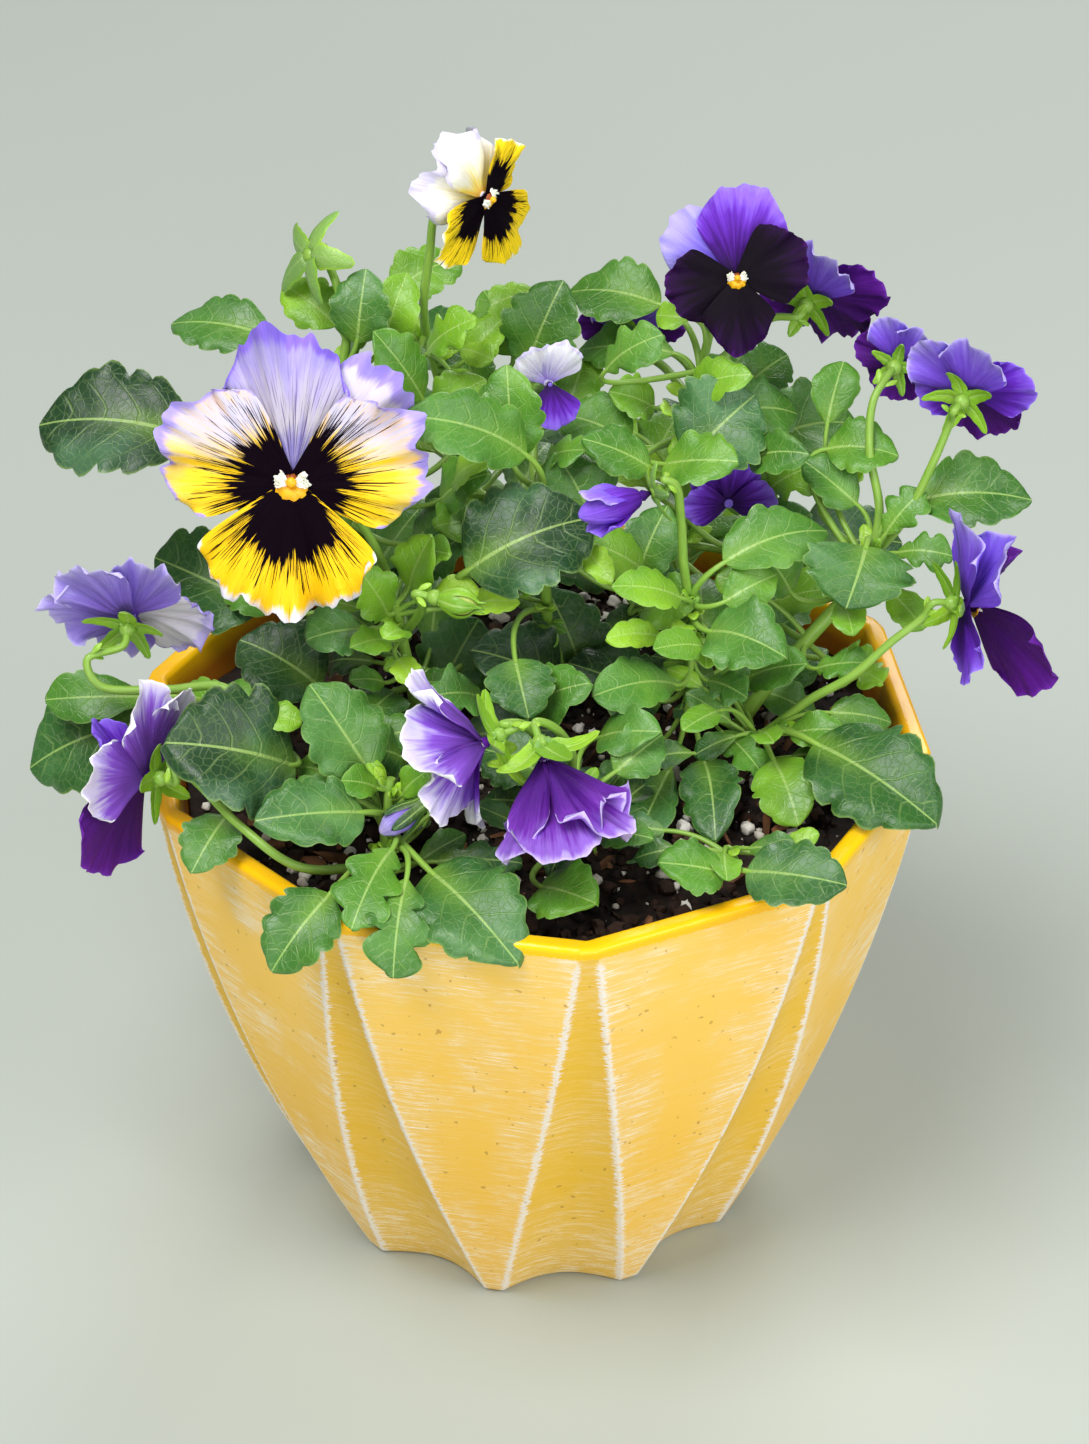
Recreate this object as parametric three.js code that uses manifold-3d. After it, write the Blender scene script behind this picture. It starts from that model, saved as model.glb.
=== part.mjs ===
// Potted pansy planter: a ten-sided faceted pot, its potting soil, the leafy pansy stems rooted in it and
// their blooms.
// Millimetres. +X is to the right and +Y to the back as seen from the front, +Z is up.
// The origin is the centre of the pot's flat base.
import * as THREE from "three";
import { mergeVertices } from "three/addons/utils/BufferGeometryUtils.js";
import Module from "manifold-3d";

const wasm = await Module();
wasm.setup();

const RAD = Math.PI / 180;
const GAP = 0.3;
const WELD = 1e-4;
const TIDY = 0.05;

// The pot: ridges run from each rim corner to the two base corners beside it, so that flat panels, widest at
// the rim, alternate with scooped flutes, widest at the base.
const POT = {
  sides: 10,
  turn: 7.5,
  height: 160,
  rimRadius: 112,
  baseRadius: 63.5,
  bulge: 7,
  rimRidgeGap: 4.5,
  baseRidgeGap: 5,
  fluteDepth: 6,
  floor: 7,
  wall: 5.5,
  innerFloorRadius: 50,
  innerBulge: 6,
  edge: 1.2,
};
const OUTER_LEVELS = [0, 2, 32, 70, 112, 158.8, 160];
const FLUTE_SHARES = [1 / 3, 2 / 3];

const SOIL = { top: 147, mound: 4, lump: 2.4, gap: 0.5, spokes: 20, rings: [0.3, 0.55, 0.8] };
const INNER_LEVELS = [POT.floor, 75, SOIL.top, 158.8, 160];
// The biggest bark and perlite lumps, which stand out of the open soil: place and size.
const CLOD = { squash: 0.75, sink: 0.2 };
const CLODS = [
  [10, -93, 4], [22, -84, 4], [31, -87, 4], [40, -80, 4], [44, -72, 4], [24, -72, 4], [34, -66, 4],
  [62, -70, 4], [72, -58, 4], [66, -50, 4], [78, -44, 4], [84, -28, 4], [92, -8, 4], [84, 10, 4],
  [-10, -90, 4], [-22, -88, 4], [-60, -66, 4], [-76, -50, 4], [-84, -32, 4], [-90, -12, 4], [-14, 6, 4],
];

const BLADE = 0.8;
const PETAL = 0.7;
const STEM = { sides: 5, steps: 4, rootDepth: 22, holeGap: 1.2 };
const STALK = { sides: 3, radius: 1.2, approach: 5 };
const PETIOLE = { half: 0.95, smallHalf: 0.7, smallBlade: 15, depth: 0.75, bend: 0.45, steps: 2 };
// How many teeth a side a leaf has, by the width of its blade, and where in its share each tooth stands out.
const TEETH_BY_WIDTH = [[18, 2], [31, 3], [Infinity, 4]];
const TOOTH_PEAK = 0.56;

// Leaf outlines: the half width is t^rise (1-t)^fall, cut into teeth. arch and fold are shares of the length
// and of the width.
const LEAF_KINDS = {
  broad: { rise: 0.5, fall: 0.55, teeth: 2, notch: 0.13, arch: 0.09, fold: 0.22 },
  oval: { rise: 1.0, fall: 0.5, teeth: 2, notch: 0.1, arch: 0.08, fold: 0.25 },
  lobed: { rise: 0.9, fall: 0.55, teeth: 3, notch: 0.52, arch: 0.1, fold: 0.15 },
};
// A leaf's upper face turns to the light, which comes from above and in front.
const LIGHT = new THREE.Vector3(0, -0.55, 0.83);

const GREEN = 0x4b7d33;
const COLOURS = {
  yellow: 0xf3cb1c,
  lavender: 0xa99be0,
  violet: 0x6d3fc4,
  plum: 0x45106c,
  black: 0x1c0722,
  white: 0xdcd6ee,
  pot: 0xe6bb55,
  soil: 0x2a1d16,
};

// Each leaf: kind, share of the way up the stem where its stalk starts, blade base, blade tip, blade width.
// Each flower stalk: the share where it starts, its way points, and the bloom, bud or pod that it carries.
const STEMS = {
  stem_front_left: {
    root: [-41, -66], way: [[-39, -63, 165], [-38, -60, 179]], radius: 1.7,
    leaves: [
      ["broad", 0.9, [-43, -60, 180], [-60, -50, 201], 25],
      ["broad", 0.6, [-45, -70, 175], [-71, -84, 180], 22],
      ["broad", 0.3, [-53, -93, 165], [-68, -109, 153], 21],
      ["lobed", 0.45, [-37, -78, 169], [-49, -104, 164], 19],
      ["lobed", 0.3, [-33, -90, 168], [-38, -114, 155], 19],
      ["broad", 0.5, [-27, -83, 165], [-5, -112, 160], 30],
    ],
    flowers: [
      {
        from: 0.2, way: [[-62, -78, 163], [-78, -70, 171], [-90, -61, 179], [-97, -54, 180]],
        bloom: "bloom_left_side",
      },
      { from: 0.5, way: [[-30, -65, 181], [-23, -68, 184]], bloom: "bud_closed" },
    ],
  },
  stem_left: {
    root: [-62, -36], way: [[-64, -38, 168], [-74, -38, 179], [-83, -38, 185]], radius: 1.6,
    leaves: [
      ["broad", 0.55, [-64, -50, 176], [-95, -64, 192], 38],
      ["broad", 0.6, [-103, -14, 167], [-142, -16, 157], 33],
      ["broad", 0.7, [-82, -62, 168], [-90, -78, 162], 17],
      ["oval", 0.8, [-105, -16, 176], [-134, -20, 175], 15],
      ["oval", 0.95, [-80, -20, 178], [-98, -16, 172], 14],
    ],
    flowers: [
      {
        from: 0.5, way: [[-84, -24, 184], [-100, -26, 185], [-118, -27, 187], [-121, -25, 194]],
        bloom: "bloom_left_back",
      },
    ],
  },
  stem_mid_left: {
    root: [-33, 0], way: [[-34, -2, 170], [-36, -6, 188], [-38, -8, 201]], radius: 1.6,
    leaves: [
      ["oval", 0.8, [-46, -16, 198], [-60, -26, 202], 17],
      ["broad", 0.95, [-40, -10, 199], [-47, -14, 215], 15],
      ["broad", 1.0, [-34, -4, 204], [-28, -8, 222], 15],
      ["broad", 0.35, [-60, 4, 166], [-81, 10, 180], 28],
      ["broad", 0.35, [-27, 10, 160], [-15, 20, 178], 24],
    ],
    flowers: [
      { from: 0.6, way: [[-39, 2, 200], [-48, 2, 222]], bloom: "bloom_front_ruffled" },
      { from: 0.7, way: [[-30, -20, 208]], bloom: "pod" },
    ],
  },
  stem_back_left: {
    root: [-52, 38], way: [[-52, 38, 175], [-53, 40, 205], [-54, 42, 230], [-54, 44, 245]], radius: 1.7,
    leaves: [
      ["broad", 0.55, [-96, 34, 230], [-138, 42, 234], 36],
      ["broad", 0.85, [-74, 52, 252], [-102, 62, 252], 20],
      ["broad", 0.95, [-55, 54, 254], [-70, 64, 262], 16],
      ["broad", 1.0, [-49, 44, 254], [-46, 50, 273], 18],
      ["broad", 1.0, [-42, 52, 249], [-35, 60, 267], 16],
      ["broad", 0.85, [-31, 38, 240], [-44, 34, 260], 18],
      ["broad", 0.7, [-28, 44, 231], [-14, 50, 240], 16],
      ["broad", 0.35, [-74, 58, 196], [-100, 76, 204], 30],
      ["broad", 0.2, [-78, 40, 170], [-112, 52, 176], 32],
      ["broad", 0.45, [-40, 74, 206], [-38, 104, 210], 28],
    ],
    flowers: [
      { from: 0.95, way: [[-52, 48, 256], [-55, 54, 268]], bloom: "calyx_spent" },
    ],
  },
  stem_back: {
    root: [-14, 72], way: [[-16, 72, 175], [-22, 72, 205], [-28, 72, 230], [-31, 72, 242]], radius: 1.6,
    leaves: [
      ["broad", 0.9, [-40, 74, 254], [-22, 84, 262], 18],
      ["broad", 0.75, [-20, 68, 235], [-8, 72, 246], 14],
      ["broad", 0.8, [-6, 74, 234], [-12, 80, 252], 17],
      ["broad", 0.7, [-2, 66, 234], [8, 72, 258], 24],
      ["broad", 0.5, [-22, 102, 214], [-36, 128, 220], 28],
      ["broad", 0.35, [-4, 98, 190], [8, 126, 190], 30],
    ],
    flowers: [
      { from: 0.97, way: [[-31, 64, 256], [-29, 62, 272], [-27, 62, 286]], bloom: "bloom_back_yellow" },
    ],
  },
  stem_centre: {
    root: [6, 18], way: [[4, 18, 175], [3, 14, 200], [2, 12, 226]], radius: 1.7,
    leaves: [
      ["broad", 0.75, [-18, -10, 213], [14, -3, 229], 36],
      ["broad", 0.95, [-2, 8, 239], [-33, 0, 261], 22],
      ["broad", 1.0, [-6, 17, 232], [-7, 24, 257], 20],
      ["broad", 0.9, [17, 18, 209], [9, 24, 231], 24],
      ["broad", 0.8, [30, 2, 206], [12, -2, 219], 17],
      ["broad", 0.8, [29, 10, 199], [35, 16, 218], 18],
      ["broad", 0.4, [6, 4, 166], [-14, -2, 186], 28],
      ["broad", 0.4, [14, 14, 162], [6, 22, 188], 24],
      ["broad", 0.45, [-5, -22, 192], [-2, -38, 184], 20],
    ],
    flowers: [
      { from: 0.95, way: [[0, 38, 216], [0, 50, 230]], bloom: "bloom_centre_white" },
    ],
  },
  stem_right_front: {
    root: [44, 8], way: [[44, 6, 170], [43, 2, 188], [43, -2, 199]], radius: 1.9,
    leaves: [
      ["broad", 1.0, [52, -4, 212], [79, 9, 220], 20],
      ["broad", 0.95, [52, -10, 203], [67, -6, 209], 14],
      ["broad", 0.95, [40, -11, 205], [23, -22, 216], 13],
      ["broad", 0.9, [48, -14, 196], [67, -29, 202], 24],
      ["oval", 0.6, [40, -12, 177], [18, -28, 190], 17],
      ["oval", 0.3, [38, -24, 158], [26, -58, 152], 15],
      ["lobed", 0.3, [34, -14, 158], [18, -30, 156], 14],
      ["broad", 0.3, [47, -22, 159], [52, -52, 156], 18],
      ["broad", 0.4, [36, 6, 160], [10, 4, 172], 24],
      ["broad", 0.5, [52, 12, 166], [74, 22, 178], 20],
    ],
    flowers: [
      { from: 0.97, way: [[41, -5, 212], [40, -6, 226], [38, -8, 239], [35, -9, 241]], bloom: "bud_violet" },
    ],
  },
  stem_right: {
    root: [56, 4], way: [[62, 2, 162], [76, 6, 180], [88, 10, 194], [94, 14, 203]], radius: 2.1,
    leaves: [
      ["broad", 0.97, [91, 1, 214], [87, -16, 206], 32],
      ["broad", 1.0, [106, 19, 218], [137, 18, 223], 23],
      ["oval", 0.95, [82, 40, 230], [85, 48, 246], 14],
      ["broad", 0.9, [82, 34, 226], [101, 28, 230], 18],
      ["broad", 0.9, [90, 24, 214], [74, 30, 223], 15],
      ["lobed", 1.0, [97, 12, 211], [106, 16, 224], 13],
      ["broad", 0.75, [72, 16, 190], [64, 16, 204], 15],
    ],
    flowers: [
      { from: 0.98, way: [[96, 20, 214], [93, 27, 230], [94, 33, 242]], bloom: "bloom_right_small" },
      { from: 1.0, way: [[102, 14, 214], [109, 16, 230], [114, 18, 244]], bloom: "bloom_right_back" },
    ],
  },
  stem_right_low: {
    root: [58, -14], way: [[62, -14, 160], [66, -15, 165]], radius: 1.6,
    leaves: [
      ["broad", 0.95, [77, -30, 170], [107, -60, 165], 33],
      ["broad", 0.7, [66, -28, 163], [73, -48, 157], 20],
    ],
    flowers: [
      {
        from: 0.7, way: [[76, -16, 175], [87, -18, 184], [98, -17, 195], [106, -16, 202]],
        bloom: "bloom_right_side",
      },
    ],
  },
  stem_back_right: {
    root: [42, 60], way: [[42, 60, 175], [44, 59, 200], [46, 58, 222], [47, 57, 238]], radius: 2.0,
    leaves: [
      ["broad", 0.75, [43, 28, 226], [62, 36, 241], 32],
      ["broad", 0.7, [36, 20, 229], [54, 8, 235], 19],
      ["broad", 0.7, [32, 22, 227], [14, 20, 237], 17],
      ["oval", 0.9, [40, 60, 242], [25, 64, 242], 13],
      ["broad", 0.85, [34, 52, 229], [22, 48, 236], 15],
      ["broad", 0.9, [34, 74, 236], [12, 80, 232], 16],
      ["broad", 0.75, [27, 44, 222], [9, 48, 232], 22],
      ["broad", 1.0, [36, 74, 250], [10, 84, 252], 22],
      ["broad", 0.85, [56, 44, 232], [74, 50, 231], 20],
      ["broad", 0.8, [60, 66, 228], [74, 76, 233], 18],
      ["broad", 0.5, [66, 72, 206], [94, 86, 210], 30],
      ["broad", 0.35, [46, 90, 190], [52, 120, 192], 30],
      ["broad", 0.3, [76, 58, 178], [108, 66, 178], 30],
    ],
    flowers: [
      { from: 0.98, way: [[49, 60, 246], [52, 60, 262]], bloom: "bloom_back_dark" },
      { from: 0.9, way: [[56, 66, 240], [67, 66, 250]], bloom: "bloom_back_behind" },
      { from: 0.6, way: [[54, 48, 204]], bloom: "bloom_centre_hidden" },
      { from: 0.8, way: [[36, 80, 228]], bloom: "bloom_back_hidden" },
    ],
  },
  stem_front: {
    root: [16, -52], way: [[14, -53, 160], [10, -54, 172]], radius: 1.5,
    leaves: [
      ["broad", 0.3, [2, -80, 158], [14, -93, 162], 20],
      ["broad", 0.9, [2, -46, 171], [-14, -39, 176], 20],
      ["broad", 0.8, [22, -44, 170], [36, -36, 176], 16],
    ],
    flowers: [
      { from: 0.9, way: [[4, -55, 184], [-3, -58, 195], [-8, -61, 197]], bloom: "bloom_front_side" },
      { from: 1.0, way: [[10, -57, 186], [5, -62, 197]], bloom: "bloom_front_hanging" },
    ],
  },
  stem_front_right: {
    root: [52, -62], way: [[52, -66, 158], [52, -70, 163]], radius: 1.4,
    leaves: [
      ["broad", 0.9, [56, -87, 168], [80, -100, 172], 22],
      ["broad", 0.9, [50, -86, 167], [34, -91, 172], 17],
    ],
    flowers: [],
  },
};

// Petals: direction round the face (0 right, 90 up), length, width, lift out of the face, roll-back of the
// tip, ruffle height, how far in front of the hub it lies, and which colour of the bloom it belongs to.
const FACE = [
  { at: 118, length: 1.0, width: 0.98, lift: -6, curl: 0.1, ruffle: 0.06, layer: -1.7, part: "upper" },
  { at: 64, length: 1.0, width: 0.98, lift: -4, curl: 0.1, ruffle: 0.06, layer: -0.9, part: "upper" },
  { at: 178, length: 0.92, width: 0.86, lift: 4, curl: 0.06, ruffle: 0.05, layer: 0.5, part: "lower" },
  { at: 2, length: 0.92, width: 0.86, lift: 4, curl: 0.06, ruffle: 0.05, layer: 0.5, part: "lower" },
  { at: 270, length: 0.9, width: 1.15, lift: 8, curl: 0.08, ruffle: 0.05, layer: 1.7, part: "lower" },
];

// The same face with some petals changed, by their place in the list.
function faceWith(changes) {
  return FACE.map((petal, i) => ({ ...petal, ...(changes[i] ?? {}) }));
}

// Blooms: hub place, the way the face looks (azimuth from the front towards +X, elevation), spin, petal
// length and how many spans wide each petal is.
const BLOOMS = {
  bloom_front_ruffled: {
    hub: [-64, -16, 244], azimuth: -4, elevation: 24, spin: 0, reach: 37, across: 6,
    petals: [
      { at: 98, length: 1.12, width: 0.98, lift: 0, curl: 0.04, ruffle: 0.07, layer: -1.7, part: "upper" },
      { at: 50, length: 1.12, width: 0.8, lift: -6, curl: 0.05, ruffle: 0.09, layer: -2.9, part: "upper" },
      { at: 158, length: 1.02, width: 1.0, lift: 4, curl: 0.04, ruffle: 0.06, layer: 0.5, part: "lower" },
      { at: 18, length: 1.02, width: 1.0, lift: 4, curl: 0.04, ruffle: 0.06, layer: 0.5, part: "lower" },
      { at: 268, length: 0.95, width: 1.32, lift: 8, curl: 0.05, ruffle: 0.06, layer: 1.8, part: "lower" },
    ],
    upper: "lavender", lower: "yellow",
  },
  bloom_back_yellow: {
    hub: [-14, 58, 292], azimuth: 56, elevation: -4, spin: 34, reach: 23, across: 4,
    petals: faceWith({
      0: { length: 0.72, curl: 0.5, ruffle: 0.14 }, 1: { length: 0.8, curl: 0.35, ruffle: 0.14 },
      2: { length: 1.0, width: 0.95 }, 3: { length: 0.8, width: 0.75 }, 4: { length: 1.12, width: 1.05 },
    }),
    upper: "white", lower: "yellow",
  },
  bloom_back_dark: {
    hub: [56, 50, 271], azimuth: 2, elevation: 22, spin: 0, reach: 22, across: 4,
    petals: faceWith({
      0: { at: 138, length: 1.12, width: 1.05 }, 1: { at: 82, length: 1.18, width: 1.2 },
      2: { at: 192, length: 0.9 }, 3: { at: 20, length: 0.92, width: 0.95 },
      4: { at: 272, length: 0.86, width: 0.85 },
    }),
    upper: "violet", lower: "black",
  },
  bloom_back_behind: {
    hub: [79, 72, 254], azimuth: 152, elevation: 12, spin: -10, reach: 24, across: 3,
    petals: faceWith({ 2: { lift: 12 }, 3: { lift: 12 }, 4: { lift: 22 } }), upper: "violet", lower: "plum",
  },
  bloom_right_small: {
    hub: [102, 48, 246], azimuth: 158, elevation: -4, spin: 12, reach: 15, across: 3,
    petals: faceWith({}), upper: "violet", lower: "plum",
  },
  bloom_right_back: {
    hub: [119, 24, 249], azimuth: 152, elevation: 4, spin: -15, reach: 21, across: 3,
    petals: faceWith({ 2: { lift: 10 }, 3: { lift: 14 }, 4: { lift: 24 } }), upper: "violet", lower: "plum",
  },
  bloom_right_side: {
    hub: [118, -14, 205], azimuth: 104, elevation: -10, spin: 0, reach: 27, across: 3,
    petals: faceWith({
      0: { at: 80, width: 0.8, lift: -4, ruffle: 0.1 }, 1: { at: 112, width: 0.8, lift: 12, ruffle: 0.1 },
      2: { at: 234, length: 0.8, width: 0.75, lift: 8, layer: -1.7, part: "upper" },
      3: { at: 30, length: 0.85, width: 0.6, lift: 50 }, 4: { at: 216, length: 1.15, width: 1.15, lift: 40 },
    }),
    upper: "violet", lower: "plum",
  },
  bloom_left_side: {
    hub: [-104, -50, 173], azimuth: -120, elevation: -8, spin: 0, reach: 27, across: 3,
    petals: faceWith({
      0: { at: 100, width: 0.85, lift: 4 }, 1: { at: 150, width: 0.85, lift: 0 },
      2: { at: 95, length: 0.75, width: 0.5, lift: 50 }, 3: { at: 22, width: 0.85, lift: 8, part: "upper" },
      4: { at: 320, length: 1.12, width: 1.1, lift: 15 },
    }),
    upper: "violet", lower: "plum",
  },
  bloom_left_back: {
    hub: [-110, -11, 199], azimuth: 170, elevation: 22, spin: -65, reach: 25, across: 3,
    petals: faceWith({ 0: { lift: 8 }, 1: { lift: 8 }, 2: { lift: 10 }, 3: { lift: 10 } }),
    upper: "lavender", lower: "lavender",
  },
  bloom_front_side: {
    hub: [-13, -64, 193], azimuth: -80, elevation: -25, spin: 0, reach: 27, across: 3,
    petals: faceWith({
      0: { lift: 30 }, 1: { at: 58, lift: 46 }, 2: { lift: 34, width: 0.74, part: "upper" },
      3: { at: -18, lift: 58, width: 0.95, part: "upper" }, 4: { width: 0.9, lift: 34 },
    }),
    upper: "violet", lower: "violet",
  },
  bloom_front_hanging: {
    hub: [3, -70, 192], azimuth: 30, elevation: -60, spin: 0, reach: 32, across: 3,
    petals: faceWith({
      0: { lift: 60, width: 0.85 }, 1: { lift: 56, width: 0.8 }, 2: { lift: 55, width: 0.72, part: "upper" },
      3: { lift: 55, width: 0.7, part: "upper" }, 4: { lift: 62, width: 0.8, part: "upper" },
    }),
    upper: "violet",
  },
  bloom_centre_hidden: {
    hub: [55, 38, 206], azimuth: 10, elevation: 8, spin: 0, reach: 15, across: 3,
    petals: faceWith({ 2: { part: "upper" }, 3: { part: "upper" } }).slice(0, 4), upper: "violet",
  },
  bloom_centre_white: {
    hub: [4, 41, 243], azimuth: 20, elevation: 10, spin: 0, reach: 14, across: 3,
    petals: faceWith({ 0: { lift: 30 }, 1: { lift: 30 }, 4: { lift: 20 } }).filter((petal) => petal.lift > 4),
    upper: "white", lower: "violet",
  },
  bloom_back_hidden: {
    hub: [28, 90, 234], azimuth: 176, elevation: 10, spin: 0, reach: 17, across: 3,
    petals: faceWith({}), upper: "violet", lower: "plum",
  },
  bud_violet: {
    hub: [29, -9, 236], azimuth: -72, elevation: -10, spin: 0, reach: 18, across: 3, spindle: 4.6,
    petals: [
      { at: 90, length: 1.0, width: 0.6, lift: 62, curl: -0.1, ruffle: 0.04, layer: 0, part: "upper" },
      { at: 270, length: 0.95, width: 0.7, lift: 64, curl: -0.1, ruffle: 0.04, layer: 0, part: "upper" },
    ],
    upper: "violet",
  },
  bud_closed: {
    hub: [-30, -70, 177], azimuth: -80, elevation: -35, spin: 0, reach: 13, spindle: 3.4,
    petals: [], upper: "lavender", lean: -0.15,
  },
  // A calyx whose petals have dropped, and a seed pod shut in its calyx, carry no petals.
  calyx_spent: { hub: [-65, 54, 277], azimuth: -50, elevation: 30, spin: 0, reach: 34, petals: [] },
  pod: { hub: [-22, -27, 214], azimuth: 78, elevation: -6, spin: 0, reach: 30, petals: [], lean: -1.4 },
};
const SEPAL = { count: 5, length: 0.46, largest: 28, waist: 2.2, back: 3.4, lean: 0.3, cup: 3 };
// A petal's outline: its share of width at the hub, the share of length where it is widest, the rounding of
// its tip, the share where it has come forward to its layer, the share where its broad rows begin, their
// number, and the ruffles round the face.
const OUTLINE = { neck: 0.12, widest: 0.75, rounding: 0.3, settled: 0.25, firstRow: 0.54, rows: 2, waves: 7 };
const BUD_PROFILE = [[0, 0], [0.5, 0.05], [1, 0.45], [0.8, 0.75], [0, 1]];
// The hub of each colour of petals: from its back to its front along the bloom's axis.
const HUB = { sides: 5, radius: 1.9, neck: 0.5, seat: 0.5, upper: [-2.7, 0.4], lower: [0.8, 1.8] };

// A closed solid from a geometry, or from plain lists of points and triangles, with its faces out.
function solidFrom(positions, index) {
  let volume = 0;
  const at = (i) => new THREE.Vector3().fromArray(positions, 3 * i);
  for (let i = 0; i < index.length; i += 3) {
    volume += at(index[i]).dot(at(index[i + 1]).cross(at(index[i + 2])));
  }
  const triVerts = Uint32Array.from(index);
  if (volume < 0) {
    for (let i = 0; i < triVerts.length; i += 3) {
      [triVerts[i], triVerts[i + 1]] = [triVerts[i + 1], triVerts[i]];
    }
  }
  const vertProperties = Float32Array.from(positions);
  return new wasm.Manifold(new wasm.Mesh({ numProp: 3, vertProperties, triVerts }));
}

function geometrySolid(geometry) {
  const plain = geometry.clone();
  plain.deleteAttribute("normal");
  plain.deleteAttribute("uv");
  const merged = mergeVertices(plain, WELD);
  return solidFrom([...merged.attributes.position.array], [...merged.index.array]);
}

function joined(solids) {
  return wasm.Manifold.union(solids);
}

// What hangs together with the largest part of a solid: loose scraps are dropped.
function largest(solid) {
  const pieces = solid.decompose();
  return pieces.reduce((best, piece) => (piece.volume() > best.volume() ? piece : best));
}

function ringPoint(radius, angle, z) {
  return new THREE.Vector3(radius * Math.sin(angle), -radius * Math.cos(angle), z);
}

// A closed skin through rings of equally many points, fanned shut at both ends.
function ringSolid(rings) {
  const count = rings[0].length;
  const points = rings.flat();
  const index = [];
  for (let r = 0; r + 1 < rings.length; r++) {
    for (let i = 0; i < count; i++) {
      const a = r * count + i;
      const b = r * count + ((i + 1) % count);
      index.push(a, b, b + count, a, b + count, a + count);
    }
  }
  for (const [r, flip] of [[0, true], [rings.length - 1, false]]) {
    const centre = new THREE.Vector3();
    rings[r].forEach((p) => centre.add(p));
    points.push(centre.divideScalar(count));
    for (let i = 0; i < count; i++) {
      const a = r * count + i;
      const b = r * count + ((i + 1) % count);
      index.push(...(flip ? [b, a, points.length - 1] : [a, b, points.length - 1]));
    }
  }
  return solidFrom(points.flatMap((p) => p.toArray()), index);
}

// One height of the pot's outside: both ridges of each rim corner, with the flute scooped between them.
function potOutline(z) {
  const share = z / POT.height;
  const step = 360 / POT.sides;
  const swell = POT.bulge * 4 * share * (1 - share);
  const inset = z === 0 || z === POT.height ? POT.edge : 0;
  const ridge = (corner, side) => {
    const turn = (share) => (POT.turn + (corner + share) * step) * RAD;
    const rimAngle = turn(0) + (side * POT.rimRidgeGap) / 2 / POT.rimRadius;
    const baseAngle = turn(side / 2) - (side * POT.baseRidgeGap) / 2 / POT.baseRadius;
    const top = ringPoint(POT.rimRadius, rimAngle, z);
    const point = ringPoint(POT.baseRadius, baseAngle, z).lerp(top, share);
    const out = new THREE.Vector3(point.x, point.y, 0).normalize();
    return point.addScaledVector(out, swell - inset);
  };
  const outline = [];
  for (let corner = 0; corner < POT.sides; corner++) {
    const left = ridge(corner, -1);
    const right = ridge(corner, 1);
    outline.push(left);
    for (const f of FLUTE_SHARES) {
      const point = left.clone().lerp(right, f);
      const inward = new THREE.Vector3(-point.x, -point.y, 0).normalize();
      outline.push(point.addScaledVector(inward, POT.fluteDepth * (1 - share) * 4 * f * (1 - f)));
    }
    outline.push(right);
  }
  return outline;
}

// The inside is a plain ten-sided funnel whose corners stand behind the rim's corners.
function innerRadius(z, angle) {
  const share = (z - POT.floor) / (POT.height - POT.floor);
  const step = (2 * Math.PI) / POT.sides;
  const rim = POT.rimRadius - POT.wall;
  const swell = POT.innerBulge * 4 * share * (1 - share);
  const corner = THREE.MathUtils.lerp(POT.innerFloorRadius, rim, share) + swell;
  const away = ((((angle - POT.turn * RAD) % step) + step) % step) - step / 2;
  return (corner * Math.cos(step / 2)) / Math.cos(away);
}

function makePlanter() {
  const outside = OUTER_LEVELS.map(potOutline);
  const angles = outside[outside.length - 1].map((p) => Math.atan2(p.x, -p.y));
  const inside = INNER_LEVELS.map((z) => {
    const widen = z === POT.height ? POT.edge : 0;
    return angles.map((a) => ringPoint(innerRadius(z, a) + widen, a, z));
  });
  return ringSolid([...outside, ...inside.reverse()]);
}

// Seeded noise for the soil's lumps.
function randomFrom(seed) {
  let state = seed;
  return () => {
    state = (state * 1664525 + 1013904223) % 4294967296;
    return state / 4294967296;
  };
}

function makeSoil() {
  const random = randomFrom(7);
  const spoke = (2 * Math.PI) / SOIL.spokes;
  const angles = Array.from({ length: SOIL.spokes }, (_, i) => POT.turn * RAD + spoke * i);
  const wallRing = (z, lift) => angles.map((a) => ringPoint(innerRadius(z, a) - SOIL.gap, a, z + lift));
  const levels = INNER_LEVELS.filter((z) => z <= SOIL.top);
  const rings = levels.map((z) => wallRing(z, z === POT.floor ? SOIL.gap : 0));
  for (const share of [...SOIL.rings].reverse()) {
    const rise = SOIL.mound * (1 - share * share);
    rings.push(angles.map((a) => {
      const lump = SOIL.lump * (random() - 0.5) * 2;
      return ringPoint(share * (innerRadius(SOIL.top, a) - SOIL.gap), a, SOIL.top + rise + lump);
    }));
  }
  return joined([ringSolid(rings), ...CLODS.map(clod)]);
}

// A lump that is sunk a little in the mound of the soil.
function clod([x, y, size]) {
  const share = Math.hypot(x, y) / innerRadius(SOIL.top, Math.atan2(x, -y));
  const lump = new THREE.OctahedronGeometry(size).rotateZ(x * y).scale(1, 1, CLOD.squash);
  return geometrySolid(lump.translate(x, y, SOIL.top + SOIL.mound * (1 - share * share) - CLOD.sink * size));
}

function tube(points, radius, sides, steps) {
  const section = new THREE.Shape(
    Array.from({ length: sides }, (_, i) => {
      const a = (2 * Math.PI * i) / sides;
      return new THREE.Vector2(radius * Math.cos(a), radius * Math.sin(a));
    }),
  );
  const extrudePath = new THREE.CatmullRomCurve3(points);
  return geometrySolid(new THREE.ExtrudeGeometry(section, { steps, extrudePath, bevelEnabled: false }));
}

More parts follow.
